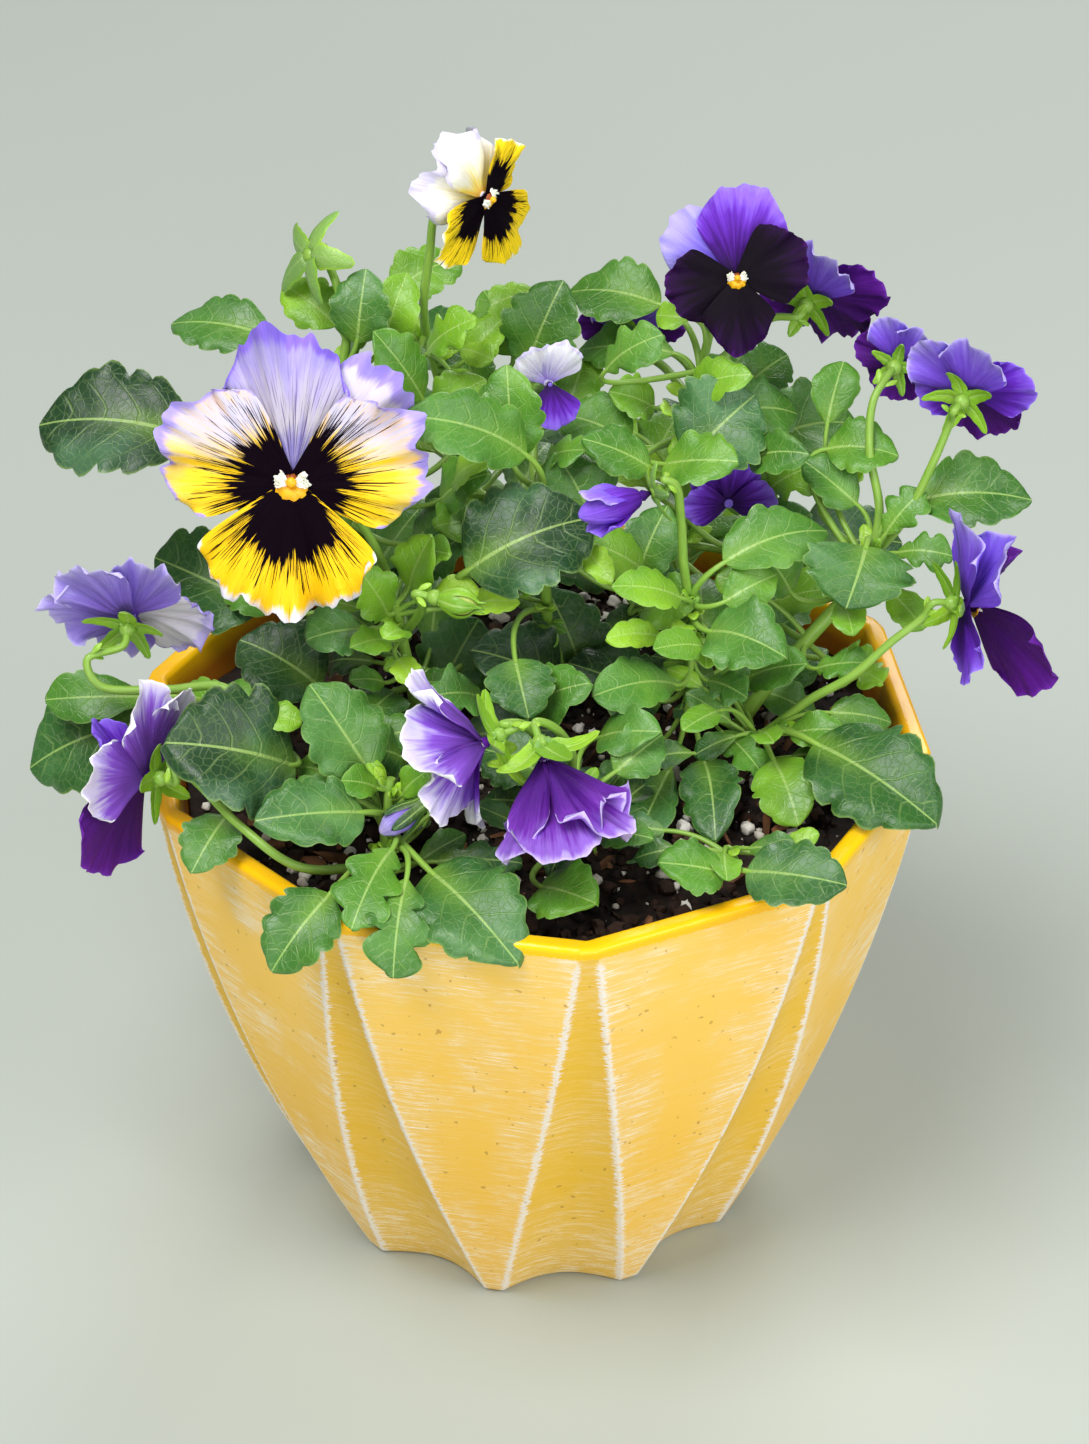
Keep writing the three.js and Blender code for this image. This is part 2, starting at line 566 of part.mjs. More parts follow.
// A thin plate: the sheet twice, moved half the thickness each way, closed round its edge.
function plate(points, triangles, halves) {
  const half = (i) => (Array.isArray(halves) ? halves[i] : halves);
  const upper = points.map((p, i) => p.clone().add(half(i)));
  const both = [...upper, ...points.map((p, i) => p.clone().sub(half(i)))];
  const count = points.length;
  const edges = new Set(triangles.flatMap(([a, b, c]) => [`${a} ${b}`, `${b} ${c}`, `${c} ${a}`]));
  const index = [];
  for (const [a, b, c] of triangles) {
    index.push(a, b, c, count + a, count + c, count + b);
  }
  for (const edge of edges) {
    const [a, b] = edge.split(" ").map(Number);
    if (!edges.has(`${b} ${a}`)) {
      index.push(b, a, count + a, b, count + a, count + b);
    }
  }
  return solidFrom(both.flatMap((p) => p.toArray()), index);
}

// Local axes of a blade that runs along one way with its upper face turned as near to the light as it can be.
function bladeAxes(along, facing) {
  const normal = facing.clone().addScaledVector(along, -facing.dot(along)).normalize();
  return { across: new THREE.Vector3().crossVectors(along, normal), along, normal };
}

function placer(origin, { across, along, normal }) {
  return (x, y, z) =>
    origin.clone().addScaledVector(across, x).addScaledVector(along, y).addScaledVector(normal, z);
}

function leafAxes([, , base, tip]) {
  const start = new THREE.Vector3(...base);
  const along = new THREE.Vector3(...tip).sub(start);
  const length = along.length();
  return { start, length, ...bladeAxes(along.normalize(), LIGHT) };
}

// A leaf: its stalk leaves the stem, turns into the blade's own direction and widens into a toothed blade,
// which is arched along its midrib and folded up a little on both sides of it.
function leafSolid(leaf, stem) {
  const [kindName, share, , , width] = leaf;
  const kind = LEAF_KINDS[kindName];
  const axes = leafAxes(leaf);
  const place = placer(axes.start, axes);
  const points = [];
  const halves = [];
  const triangles = [];
  const add = (point, half) => {
    halves.push(half);
    return points.push(point) - 1;
  };

  const start = stemPoint(stem, share);
  const reach = axes.start.distanceTo(start);
  const turn = axes.start.clone().addScaledVector(axes.along, -PETIOLE.bend * reach);
  const stalk = new THREE.QuadraticBezierCurve3(start, turn, axes.start);
  const halfStalk = width < PETIOLE.smallBlade ? PETIOLE.smallHalf : PETIOLE.half;
  let left;
  let right;
  for (let i = 0; i <= PETIOLE.steps; i++) {
    const centre = stalk.getPoint(i / PETIOLE.steps);
    const tangent = stalk.getTangent(i / PETIOLE.steps);
    const across = axes.across.clone().addScaledVector(tangent, -axes.across.dot(tangent)).normalize();
    const half = new THREE.Vector3().crossVectors(across, tangent).multiplyScalar(halfStalk * PETIOLE.depth);
    const ring = [-halfStalk, halfStalk].map((x) => add(centre.clone().addScaledVector(across, x), half));
    if (i > 0) {
      triangles.push([left, right, ring[1]], [left, ring[1], ring[0]]);
    }
    [left, right] = ring;
  }

  const peak = kind.rise / (kind.rise + kind.fall);
  const top = peak ** kind.rise * (1 - peak) ** kind.fall;
  const halfWidth = (t) => ((width / 2) * t ** kind.rise * (1 - t) ** kind.fall) / top;
  const blade = axes.normal.clone().multiplyScalar(BLADE / 2);
  const bladePoint = (t, x) => {
    const height = axes.length * kind.arch * 4 * t * (1 - t) + kind.fold * Math.abs(x);
    return add(place(x, t * axes.length, height), blade);
  };
  const teeth = Math.max(kind.teeth, TEETH_BY_WIDTH.find(([widest]) => width < widest)[1]);
  const rib = [null];
  for (let i = 1; i <= teeth; i++) {
    rib.push(bladePoint(i / teeth, 0));
  }
  triangles.push([left, right, rib[1]]);
  for (const side of [1, -1]) {
    const face = (a, b, c) => triangles.push(side > 0 ? [a, b, c] : [a, c, b]);
    let before = side > 0 ? right : left;
    for (let i = 0; i < teeth; i++) {
      const mid = (i + TOOTH_PEAK) / teeth;
      const end = (i + 1) / teeth;
      const tooth = bladePoint(mid, side * halfWidth(mid));
      const after = i + 1 === teeth ? rib[teeth] : bladePoint(end, side * halfWidth(end) * (1 - kind.notch));
      face(before, tooth, after);
      if (i > 0) {
        face(rib[i], before, after);
      }
      if (i + 1 < teeth) {
        face(i > 0 ? rib[i] : before, after, rib[i + 1]);
      }
      before = after;
    }
  }
  return plate(points, triangles, halves);
}

function bloomAxes({ azimuth, elevation, spin }) {
  const a = azimuth * RAD;
  const e = elevation * RAD;
  const face = new THREE.Vector3(Math.sin(a) * Math.cos(e), -Math.cos(a) * Math.cos(e), Math.sin(e));
  const up = new THREE.Vector3(0, 0, 1).addScaledVector(face, -face.z).normalize();
  up.applyAxisAngle(face, spin * RAD);
  return { right: new THREE.Vector3().crossVectors(up, face), up, face };
}

// A petal: a fan of points from the hub to a ruffled edge.
function petalPlate(bloom, petal, grow) {
  const { right, up, face } = bloomAxes(bloom);
  const a = petal.at * RAD;
  const radial = right.clone().multiplyScalar(Math.cos(a)).addScaledVector(up, Math.sin(a));
  const lift = petal.lift * RAD;
  const along = radial.clone().multiplyScalar(Math.cos(lift)).addScaledVector(face, Math.sin(lift));
  const normal = face.clone().multiplyScalar(Math.cos(lift)).addScaledVector(radial, -Math.sin(lift));
  const across = new THREE.Vector3().crossVectors(along, normal);
  const level = HUB[petal.part][1] - HUB.seat;
  const origin = new THREE.Vector3(...bloom.hub).addScaledVector(face, level);
  const place = placer(origin, { across, along, normal });
  const length = petal.length * bloom.reach + grow;
  const half = (petal.width * bloom.reach) / 2 + grow;
  const point = (s, v) => {
    const y = length * v * (1 - OUTLINE.rounding * s * s * v);
    const spread = Math.sin((Math.PI / 2) * Math.min(1, v / OUTLINE.widest));
    const x = half * s * (OUTLINE.neck + (1 - OUTLINE.neck) * spread);
    const wave = petal.ruffle * bloom.reach * v * v * Math.cos(OUTLINE.waves * (a - Math.atan2(x, y)));
    const layer = (petal.layer - level) * Math.min(1, v / OUTLINE.settled);
    return place(x, y, layer + wave - petal.curl * length * v ** 3);
  };
  const points = [point(0, 0)];
  const triangles = [];
  for (let r = 0; r < OUTLINE.rows; r++) {
    const v = OUTLINE.firstRow + ((1 - OUTLINE.firstRow) * r) / (OUTLINE.rows - 1);
    for (let c = 0; c <= bloom.across; c++) {
      points.push(point(-1 + (2 * c) / bloom.across, v));
    }
  }
  const id = (r, c) => 1 + r * (bloom.across + 1) + c;
  for (let c = 0; c < bloom.across; c++) {
    triangles.push([0, id(0, c + 1), id(0, c)]);
    for (let r = 0; r + 1 < OUTLINE.rows; r++) {
      triangles.push([id(r, c), id(r, c + 1), id(r + 1, c + 1)], [id(r, c), id(r + 1, c + 1), id(r + 1, c)]);
    }
  }
  return plate(points, triangles, normal.multiplyScalar(PETAL / 2 + grow));
}

// The short disc where the petals of one colour meet. That of the upper ones narrows back to the calyx.
function petalHub(bloom, part, grow) {
  const { face } = bloomAxes(bloom);
  const [back, front] = HUB[part];
  const neck = part === "upper" ? HUB.neck : HUB.radius;
  const disc = new THREE.CylinderGeometry(HUB.radius + grow, neck + grow, front - back + 2 * grow, HUB.sides);
  const place = new THREE.Matrix4().makeRotationFromQuaternion(
    new THREE.Quaternion().setFromUnitVectors(new THREE.Vector3(0, 1, 0), face),
  );
  place.setPosition(new THREE.Vector3(...bloom.hub).addScaledVector(face, (back + front) / 2));
  return geometrySolid(disc.applyMatrix4(place));
}

// A bud is a closed spindle of furled petals.
function budSpindle(bloom) {
  const { face } = bloomAxes(bloom);
  const lathe = new THREE.LatheGeometry(
    BUD_PROFILE.map(([r, t]) => new THREE.Vector2(r * bloom.spindle, t * bloom.reach)),
    HUB.sides,
  );
  const place = new THREE.Matrix4().makeRotationFromQuaternion(
    new THREE.Quaternion().setFromUnitVectors(new THREE.Vector3(0, 1, 0), face),
  );
  place.setPosition(new THREE.Vector3(...bloom.hub));
  return geometrySolid(lathe.applyMatrix4(place));
}

// The petals of one colour, joined at their hub. The upper ones lie clear of the lower ones in front of them.
function petalsOf(bloom, part) {
  const petals = bloom.petals.filter((petal) => petal.part === part);
  const solids = petals.map((petal) => petalPlate(bloom, petal, 0));
  solids.push(petalHub(bloom, part, 0));
  if (bloom.spindle) {
    solids.push(budSpindle(bloom));
  }
  const front = bloom.petals.filter((petal) => part === "upper" && petal.part === "lower");
  if (front.length === 0) {
    return joined(solids);
  }
  const grown = [petalHub(bloom, "lower", GAP), ...front.map((petal) => petalPlate(bloom, petal, GAP))];
  return largest(joined(solids).subtract(joined(grown)));
}

// A star of five pointed sepals that spread behind the petals, or close round a pod, drawn out behind into a
// cup.
function calyx(bloom) {
  const { right, up, face } = bloomAxes(bloom);
  const lean = bloom.lean ?? SEPAL.lean;
  const length = SEPAL.length * Math.min(bloom.reach, SEPAL.largest);
  const heart = new THREE.Vector3(...bloom.hub).addScaledVector(face, -SEPAL.back);
  const half = face.clone().multiplyScalar(BLADE / 2);
  const points = [heart.clone().addScaledVector(face, -SEPAL.cup / 2)];
  const halves = [half.clone().addScaledVector(face, SEPAL.cup / 2)];
  const triangles = [];
  const corners = 2 * SEPAL.count;
  for (let i = 0; i < corners; i++) {
    const a = Math.PI / 2 + (2 * Math.PI * i) / corners;
    const reach = i % 2 === 0 ? length / Math.hypot(1, lean) : SEPAL.waist;
    const radial = right.clone().multiplyScalar(Math.cos(a)).addScaledVector(up, Math.sin(a));
    points.push(heart.clone().addScaledVector(radial, reach).addScaledVector(face, -lean * reach));
    halves.push(half);
    triangles.push([0, 1 + i, 1 + ((i + 1) % corners)]);
  }
  return plate(points, triangles, halves);
}

function stemCurve(stem) {
  const [x, y] = stem.root;
  const points = [new THREE.Vector3(x, y, SOIL.top - STEM.rootDepth), new THREE.Vector3(x, y, SOIL.top)];
  return new THREE.CatmullRomCurve3([...points, ...stem.way.map((p) => new THREE.Vector3(...p))]);
}

// A share of the way up the stem, from the soil to its tip.
function stemPoint(curve, share) {
  const spans = curve.points.length - 1;
  return curve.getPoint((1 + share * (spans - 1)) / spans);
}

function stemTube(stem) {
  return tube(stemCurve(stem).points, stem.radius, STEM.sides, STEM.steps);
}

// The plain square hole that a stem stands in.
function rootHole({ root: [x, y], radius }) {
  const half = radius + STEM.holeGap;
  const depth = STEM.rootDepth + GAP;
  const hole = new THREE.BoxGeometry(2 * half, 2 * half, 2 * depth);
  return geometrySolid(hole.translate(x, y, SOIL.top));
}

// A flower stalk runs by its way points to the back of its calyx.
function flowerStalk(flower, stem) {
  const bloom = BLOOMS[flower.bloom];
  const { face } = bloomAxes(bloom);
  const end = new THREE.Vector3(...bloom.hub).addScaledVector(face, -SEPAL.back - SEPAL.cup / 2);
  const approach = end.clone().addScaledVector(face, -STALK.approach);
  const between = flower.way.map((p) => new THREE.Vector3(...p));
  const way = [stemPoint(stem, flower.from), ...between, approach, end];
  return tube(way, STALK.radius, STALK.sides, way.length);
}

function leafyStem(stem) {
  const curve = stemCurve(stem);
  const solids = [stemTube(stem)];
  for (const leaf of stem.leaves) {
    solids.push(leafSolid(leaf, curve));
  }
  for (const flower of stem.flowers) {
    solids.push(flowerStalk(flower, curve), calyx(BLOOMS[flower.bloom]));
  }
  return joined(solids);
}

function meshOf(name, solid, colour, roughness) {
  const { numProp, vertProperties, triVerts } = solid.simplify(TIDY).getMesh();
  const geometry = new THREE.BufferGeometry();
  const count = vertProperties.length / numProp;
  const positions = new Float32Array(3 * count);
  for (let i = 0; i < count; i++) {
    positions.set(vertProperties.subarray(i * numProp, i * numProp + 3), 3 * i);
  }
  geometry.setAttribute("position", new THREE.BufferAttribute(positions, 3));
  geometry.setIndex([...triVerts]);
  geometry.computeVertexNormals();
  const material = new THREE.MeshStandardMaterial({ color: colour, roughness, metalness: 0 });
  const mesh = new THREE.Mesh(geometry, material);
  mesh.name = name;
  return mesh;
}

const planter = new THREE.Group();
const holes = joined(Object.values(STEMS).map(rootHole));
planter.add(meshOf("planter", makePlanter(), COLOURS.pot, 0.7));
planter.add(meshOf("soil", makeSoil().subtract(holes), COLOURS.soil, 0.95));
for (const [name, stem] of Object.entries(STEMS)) {
  planter.add(meshOf(name, leafyStem(stem), GREEN, 0.6));
}
for (const [name, bloom] of Object.entries(BLOOMS)) {
  for (const part of ["upper", "lower"].filter((part) => bloom[part])) {
    planter.add(meshOf(`${name}_${part}_petals`, petalsOf(bloom, part), COLOURS[bloom[part]], 0.6));
  }
}

export default planter;
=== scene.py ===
import math
import random
from functools import partialmethod

import bmesh
import bpy
import numpy as np
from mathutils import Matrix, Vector, noise


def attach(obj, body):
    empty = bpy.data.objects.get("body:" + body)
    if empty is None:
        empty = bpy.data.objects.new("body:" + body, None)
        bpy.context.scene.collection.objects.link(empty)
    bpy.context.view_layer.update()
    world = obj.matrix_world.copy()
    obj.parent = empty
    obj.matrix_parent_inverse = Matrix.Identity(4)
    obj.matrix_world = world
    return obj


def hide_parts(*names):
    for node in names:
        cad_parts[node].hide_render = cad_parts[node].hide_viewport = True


MM = 0.001
TINY = 1e-6
UP = np.array([0.0, 0.0, 1.0])

# The camera was solved from the corners of the pot in the photo.
CAMERA_TARGET = (3, 0, 157)
CAMERA_ELEVATION = math.radians(33.7)
CAMERA_DISTANCE = 1126
TO_CAMERA = np.array([0.0, -math.cos(CAMERA_ELEVATION), math.sin(CAMERA_ELEVATION)])
PHOTO_HEIGHT = 1444
FOCAL_PIXELS = 4000
SENSOR = 36.0

# The pot: ridges run from each rim corner to the two base corners beside it.
POT = {
    "sides": 10, "turn": 7.5, "height": 160, "rim_radius": 112, "base_radius": 63.5, "bulge": 7,
    "rim_ridge_gap": 4.5, "base_ridge_gap": 5, "flute_depth": 6, "floor": 7, "wall": 5.5,
    "inner_floor_radius": 50, "inner_bulge": 6, "edge": 1.8,
}
SOIL = {"top": 147, "mound": 4, "gap": 0.5}
# Places of the biggest lumps, which stand out of the open soil.
CLODS = [
    (10, -93), (22, -84), (31, -87), (40, -80), (44, -72), (24, -72), (34, -66), (62, -70), (72, -58),
    (66, -50), (78, -44), (84, -28), (92, -8), (84, 10), (-10, -90), (-22, -88), (-60, -66), (-76, -50),
    (-84, -32), (-90, -12), (-14, 6),
]
CLOD_SIZE = 4
CLOD_SQUASH = np.array([0.9, 0.85, 0.68])
STEM_ROOT_DEPTH = 22
STALK_RADIUS = 1.2
STALK_APPROACH = 5
STALK_GAP = 1.5

# Leaf outlines: the half width goes as t^rise (1-t)^fall, for t from the base to the tip. notch is how deep
# the gaps between teeth are, as a share of the half width, and depth the power with which they fade inwards.
# arch is a share of the length, and fold the slope of each side against the middle.
LEAF_KINDS = {
    "broad": dict(rise=0.62, fall=0.68, notch=0.22, depth=3.0, arch=0.09, fold=0.22),
    "oval": dict(rise=1.0, fall=0.6, notch=0.15, depth=3.0, arch=0.08, fold=0.25),
    "lobed": dict(rise=0.9, fall=0.5, notch=0.72, depth=2.0, arch=0.1, fold=0.15),
}
# A leaf's upper face turns to the light, which comes from above and in front.
LIGHT = np.array([0.0, -0.55, 0.83])

# Each stem: the place where it stands in the soil, way points over the soil, radius.
# Each leaf: share of the way up the stem where its stalk starts, blade base, blade tip, blade width, and its
# kind where it isn't broad.
# Each flower: share where its stalk starts, way points of the stalk, bloom.
STEMS = {
    "stem_front_left": {
        "root": (-41, -66), "way": [(-39, -63, 165), (-38, -60, 179)], "radius": 1.7,
        "leaves": [
            (0.9, (-43, -60, 180), (-60, -50, 201), 25), (0.6, (-45, -70, 175), (-71, -84, 180), 22),
            (0.3, (-53, -93, 165), (-68, -109, 153), 21),
            (0.45, (-37, -78, 169), (-49, -104, 164), 19, "lobed"),
            (0.3, (-33, -90, 168), (-38, -114, 155), 19, "lobed"),
            (0.5, (-27, -83, 165), (-5, -112, 160), 30), (0.8, (-35, -64, 176), (-28, -68, 188), 9, "oval"),
            (0.9, (-41, -62, 177), (-50, -67, 184), 10, "oval"),
        ],
        "flowers": [
            (0.2, [(-62, -78, 163), (-78, -70, 171), (-90, -61, 179), (-97, -54, 180)], "bloom_left_side"),
            (0.5, [(-30, -65, 181), (-23, -68, 184)], "bud_closed"),
        ],
    },
    "stem_left": {
        "root": (-62, -36), "way": [(-64, -38, 168), (-74, -38, 179), (-83, -38, 185)], "radius": 1.6,
        "leaves": [
            (0.55, (-64, -50, 176), (-95, -64, 192), 38), (0.6, (-103, -14, 167), (-142, -16, 157), 33),
            (0.7, (-82, -62, 168), (-90, -78, 162), 17),
            (0.8, (-105, -16, 176), (-134, -20, 175), 15, "oval"),
            (0.95, (-80, -20, 178), (-98, -16, 172), 14, "oval"),
            (0.3, (-57, -53, 168), (-66, -62, 172), 11, "oval"),
        ],
        "flowers": [
            (0.5, [(-84, -24, 184), (-100, -26, 185), (-118, -27, 187), (-121, -25, 194)], "bloom_left_back"),
        ],
    },
    "stem_mid_left": {
        "root": (-33, 0), "way": [(-34, -2, 170), (-36, -6, 188), (-38, -8, 201)], "radius": 1.6,
        "leaves": [
            (0.8, (-46, -16, 198), (-60, -26, 202), 17, "oval"),
            (0.95, (-40, -10, 199), (-47, -14, 215), 15), (1, (-34, -4, 204), (-28, -8, 222), 15),
            (0.35, (-60, 4, 166), (-81, 10, 180), 28), (0.35, (-27, 10, 160), (-15, 20, 178), 24),
            (0.6, (-33, -12, 178), (-22, -20, 182), 10, "oval"),
            (0.5, (-41, -12, 178), (-49, -19, 184), 9, "oval"),
        ],
        "flowers": [
            (0.6, [(-39, 2, 200), (-48, 2, 222)], "bloom_front_ruffled"), (0.7, [(-30, -20, 208)], "pod"),
        ],
    },
    "stem_back_left": {
        "root": (-52, 38), "way": [(-52, 38, 175), (-53, 40, 205), (-54, 42, 230), (-54, 44, 245)],
        "radius": 1.7,
        "leaves": [
            (0.55, (-96, 34, 230), (-138, 42, 234), 36), (0.85, (-74, 52, 252), (-102, 62, 252), 20),
            (0.95, (-55, 54, 254), (-70, 64, 262), 16), (1, (-49, 44, 254), (-46, 50, 273), 18),
            (1, (-42, 52, 249), (-35, 60, 267), 16), (0.85, (-31, 38, 240), (-44, 34, 260), 18),
            (0.7, (-28, 44, 231), (-14, 50, 240), 16), (0.35, (-74, 58, 196), (-100, 76, 204), 30),
            (0.2, (-78, 40, 170), (-112, 52, 176), 32), (0.45, (-40, 74, 206), (-38, 104, 210), 28),
        ],
        "flowers": [
            (0.95, [(-52, 48, 256), (-55, 54, 268)], "calyx_spent"),
        ],
    },
    "stem_back": {
        "root": (-14, 72), "way": [(-16, 72, 175), (-22, 72, 205), (-28, 72, 230), (-31, 72, 242)],
        "radius": 1.6,
        "leaves": [
            (0.9, (-40, 74, 254), (-22, 84, 262), 18), (0.75, (-20, 68, 235), (-8, 72, 246), 14),
            (0.8, (-6, 74, 234), (-12, 80, 252), 17), (0.7, (-2, 66, 234), (8, 72, 258), 24),
            (0.5, (-22, 102, 214), (-36, 128, 220), 28), (0.35, (-4, 98, 190), (8, 126, 190), 30),
        ],
        "flowers": [
            (0.97, [(-31, 64, 256), (-29, 62, 272), (-27, 62, 286)], "bloom_back_yellow"),
        ],
    },
    "stem_centre": {
        "root": (6, 18), "way": [(4, 18, 175), (3, 14, 200), (2, 12, 226)], "radius": 1.7,
        "leaves": [
            (0.75, (-18, -10, 213), (14, -3, 229), 36), (0.95, (-2, 8, 239), (-33, 0, 261), 22),
            (1, (-6, 17, 232), (-7, 24, 257), 20), (0.9, (17, 18, 209), (9, 24, 231), 24),
            (0.8, (30, 2, 206), (12, -2, 219), 17), (0.8, (29, 10, 199), (35, 16, 218), 18),
            (0.4, (6, 4, 166), (-14, -2, 186), 28), (0.4, (14, 14, 162), (6, 22, 188), 24),
            (0.45, (-5, -22, 192), (-2, -38, 184), 20),
        ],
        "flowers": [
            (0.95, [(0, 38, 216), (0, 50, 230)], "bloom_centre_white"),
        ],
    },
    "stem_right_front": {
        "root": (44, 8), "way": [(44, 6, 170), (43, 2, 188), (43, -2, 199)], "radius": 1.9,
        "leaves": [
            (1, (52, -4, 212), (79, 9, 220), 20), (0.95, (52, -10, 203), (67, -6, 209), 14),
            (0.95, (40, -11, 205), (23, -22, 216), 13), (0.9, (48, -14, 196), (67, -29, 202), 24),
            (0.6, (40, -12, 177), (18, -28, 190), 17, "oval"),
            (0.3, (38, -24, 158), (26, -58, 152), 15, "oval"),
            (0.3, (34, -14, 158), (18, -30, 156), 14, "lobed"), (0.3, (47, -22, 159), (52, -52, 156), 18),
            (0.4, (36, 6, 160), (10, 4, 172), 24), (0.5, (52, 12, 166), (74, 22, 178), 20),
            (0.85, (47, -19, 194), (34, -31, 202), 11, "oval"),
            (0.8, (36, -11, 192), (21, -20, 200), 9, "oval"),
            (0.6, (48, -8, 176), (58, -19, 179), 12, "lobed"),
            (0.35, (52, -12, 162), (64, -30, 160), 12, "lobed"),
        ],
        "flowers": [
            (0.97, [(41, -5, 212), (40, -6, 226), (38, -8, 239), (35, -9, 241)], "bud_violet"),
        ],
    },
    "stem_right": {
        "root": (56, 4), "way": [(62, 2, 162), (76, 6, 180), (88, 10, 194), (94, 14, 203)], "radius": 2.1,
        "leaves": [
            (0.97, (91, 1, 214), (87, -16, 206), 32), (1, (106, 19, 218), (137, 18, 223), 23),
            (0.95, (82, 40, 230), (85, 48, 246), 14, "oval"), (0.9, (82, 34, 226), (101, 28, 230), 18),
            (0.9, (90, 24, 214), (74, 30, 223), 15), (1, (97, 12, 211), (106, 16, 224), 13, "lobed"),
            (0.75, (72, 16, 190), (64, 16, 204), 15), (1, (100, 6, 209), (114, 0, 213), 12, "lobed"),
            (0.9, (97, 0, 202), (106, -10, 194), 11, "oval"),
            (0.5, (78, -8, 180), (90, -16, 186), 12, "lobed"),
        ],
        "flowers": [
            (0.98, [(96, 20, 214), (93, 27, 230), (94, 33, 242)], "bloom_right_small"),
            (1, [(102, 14, 214), (109, 16, 230), (114, 18, 244)], "bloom_right_back"),
        ],
    },
    "stem_right_low": {
        "root": (58, -14), "way": [(62, -14, 160), (66, -15, 165)], "radius": 1.6,
        "leaves": [
            (0.95, (77, -30, 170), (107, -60, 165), 33), (0.7, (66, -28, 163), (73, -48, 157), 20),
        ],
        "flowers": [
            (0.7, [(76, -16, 175), (87, -18, 184), (98, -17, 195), (106, -16, 202)], "bloom_right_side"),
        ],
    },
    "stem_back_right": {
        "root": (42, 60), "way": [(42, 60, 175), (44, 59, 200), (46, 58, 222), (47, 57, 238)], "radius": 2,
        "leaves": [
            (0.75, (43, 28, 226), (62, 36, 241), 32), (0.7, (36, 20, 229), (54, 8, 235), 19),
            (0.7, (32, 22, 227), (14, 20, 237), 17), (0.9, (40, 60, 242), (25, 64, 242), 13, "oval"),
            (0.85, (34, 52, 229), (22, 48, 236), 15), (0.9, (34, 74, 236), (12, 80, 232), 16),
            (0.75, (27, 44, 222), (9, 48, 232), 22), (1, (36, 74, 250), (10, 84, 252), 22),
            (0.85, (56, 44, 232), (74, 50, 231), 20), (0.8, (60, 66, 228), (74, 76, 233), 18),
            (0.5, (66, 72, 206), (94, 86, 210), 30), (0.35, (46, 90, 190), (52, 120, 192), 30),
            (0.3, (76, 58, 178), (108, 66, 178), 30), (1, (44, 58, 254), (34, 62, 252), 10, "oval"),
        ],
        "flowers": [
            (0.98, [(49, 60, 246), (52, 60, 262)], "bloom_back_dark"),
            (0.9, [(56, 66, 240), (67, 66, 250)], "bloom_back_behind"),
            (0.6, [(54, 48, 204)], "bloom_centre_hidden"), (0.8, [(36, 80, 228)], "bloom_back_hidden"),
        ],
    },
    "stem_front": {
        "root": (16, -52), "way": [(14, -53, 160), (10, -54, 172)], "radius": 1.5,
        "leaves": [
            (0.3, (2, -80, 158), (14, -93, 162), 20), (0.9, (2, -46, 171), (-14, -39, 176), 20),
            (0.8, (22, -44, 170), (36, -36, 176), 16),
        ],
        "flowers": [
            (0.9, [(4, -55, 184), (-3, -58, 195), (-8, -61, 197)], "bloom_front_side"),
            (1, [(10, -57, 186), (5, -62, 197)], "bloom_front_hanging"),
        ],
    },
    "stem_front_right": {
        "root": (52, -62), "way": [(52, -66, 158), (52, -70, 163)], "radius": 1.4,
        "leaves": [
            (0.9, (56, -87, 168), (80, -100, 172), 22), (0.9, (50, -86, 167), (34, -91, 172), 17),
        ],
        "flowers": [],
    },
}


# Petals: direction round the face (0 right, 90 up), lift out of the face in degrees, how far in front of the
# hub it lies, and, as shares of the bloom's reach or the petal's length, length, width, roll-back of the tip
# and ruffle height. Each also has the colour of the bloom that it belongs to, and its look.
FACE = [
    dict(at=118, length=1.0, width=0.98, lift=-6, curl=0.1, ruffle=0.06, layer=-1.7),
    dict(at=64, length=1.0, width=0.98, lift=-4, curl=0.1, ruffle=0.06, layer=-0.9),
    dict(at=178, length=0.92, width=0.86, lift=4, curl=0.06, ruffle=0.05, layer=0.5),
    dict(at=2, length=0.92, width=0.86, lift=4, curl=0.06, ruffle=0.05, layer=0.5),
    dict(at=270, length=0.9, width=1.15, lift=8, curl=0.08, ruffle=0.05, layer=1.7),
]


def face_with(changes, looks, parts=("upper", "upper", "lower", "lower", "lower")):
    """The common face with some petals changed, by their place in the list."""
    petals = []
    for i, petal in enumerate(FACE):
        petals.append({**petal, "part": parts[i], "look": looks[i], **changes.get(i, {})})
    return petals


ALL_UPPER = ("upper",) * 5
FOUR_UPPER = ("upper",) * 4 + ("lower",)

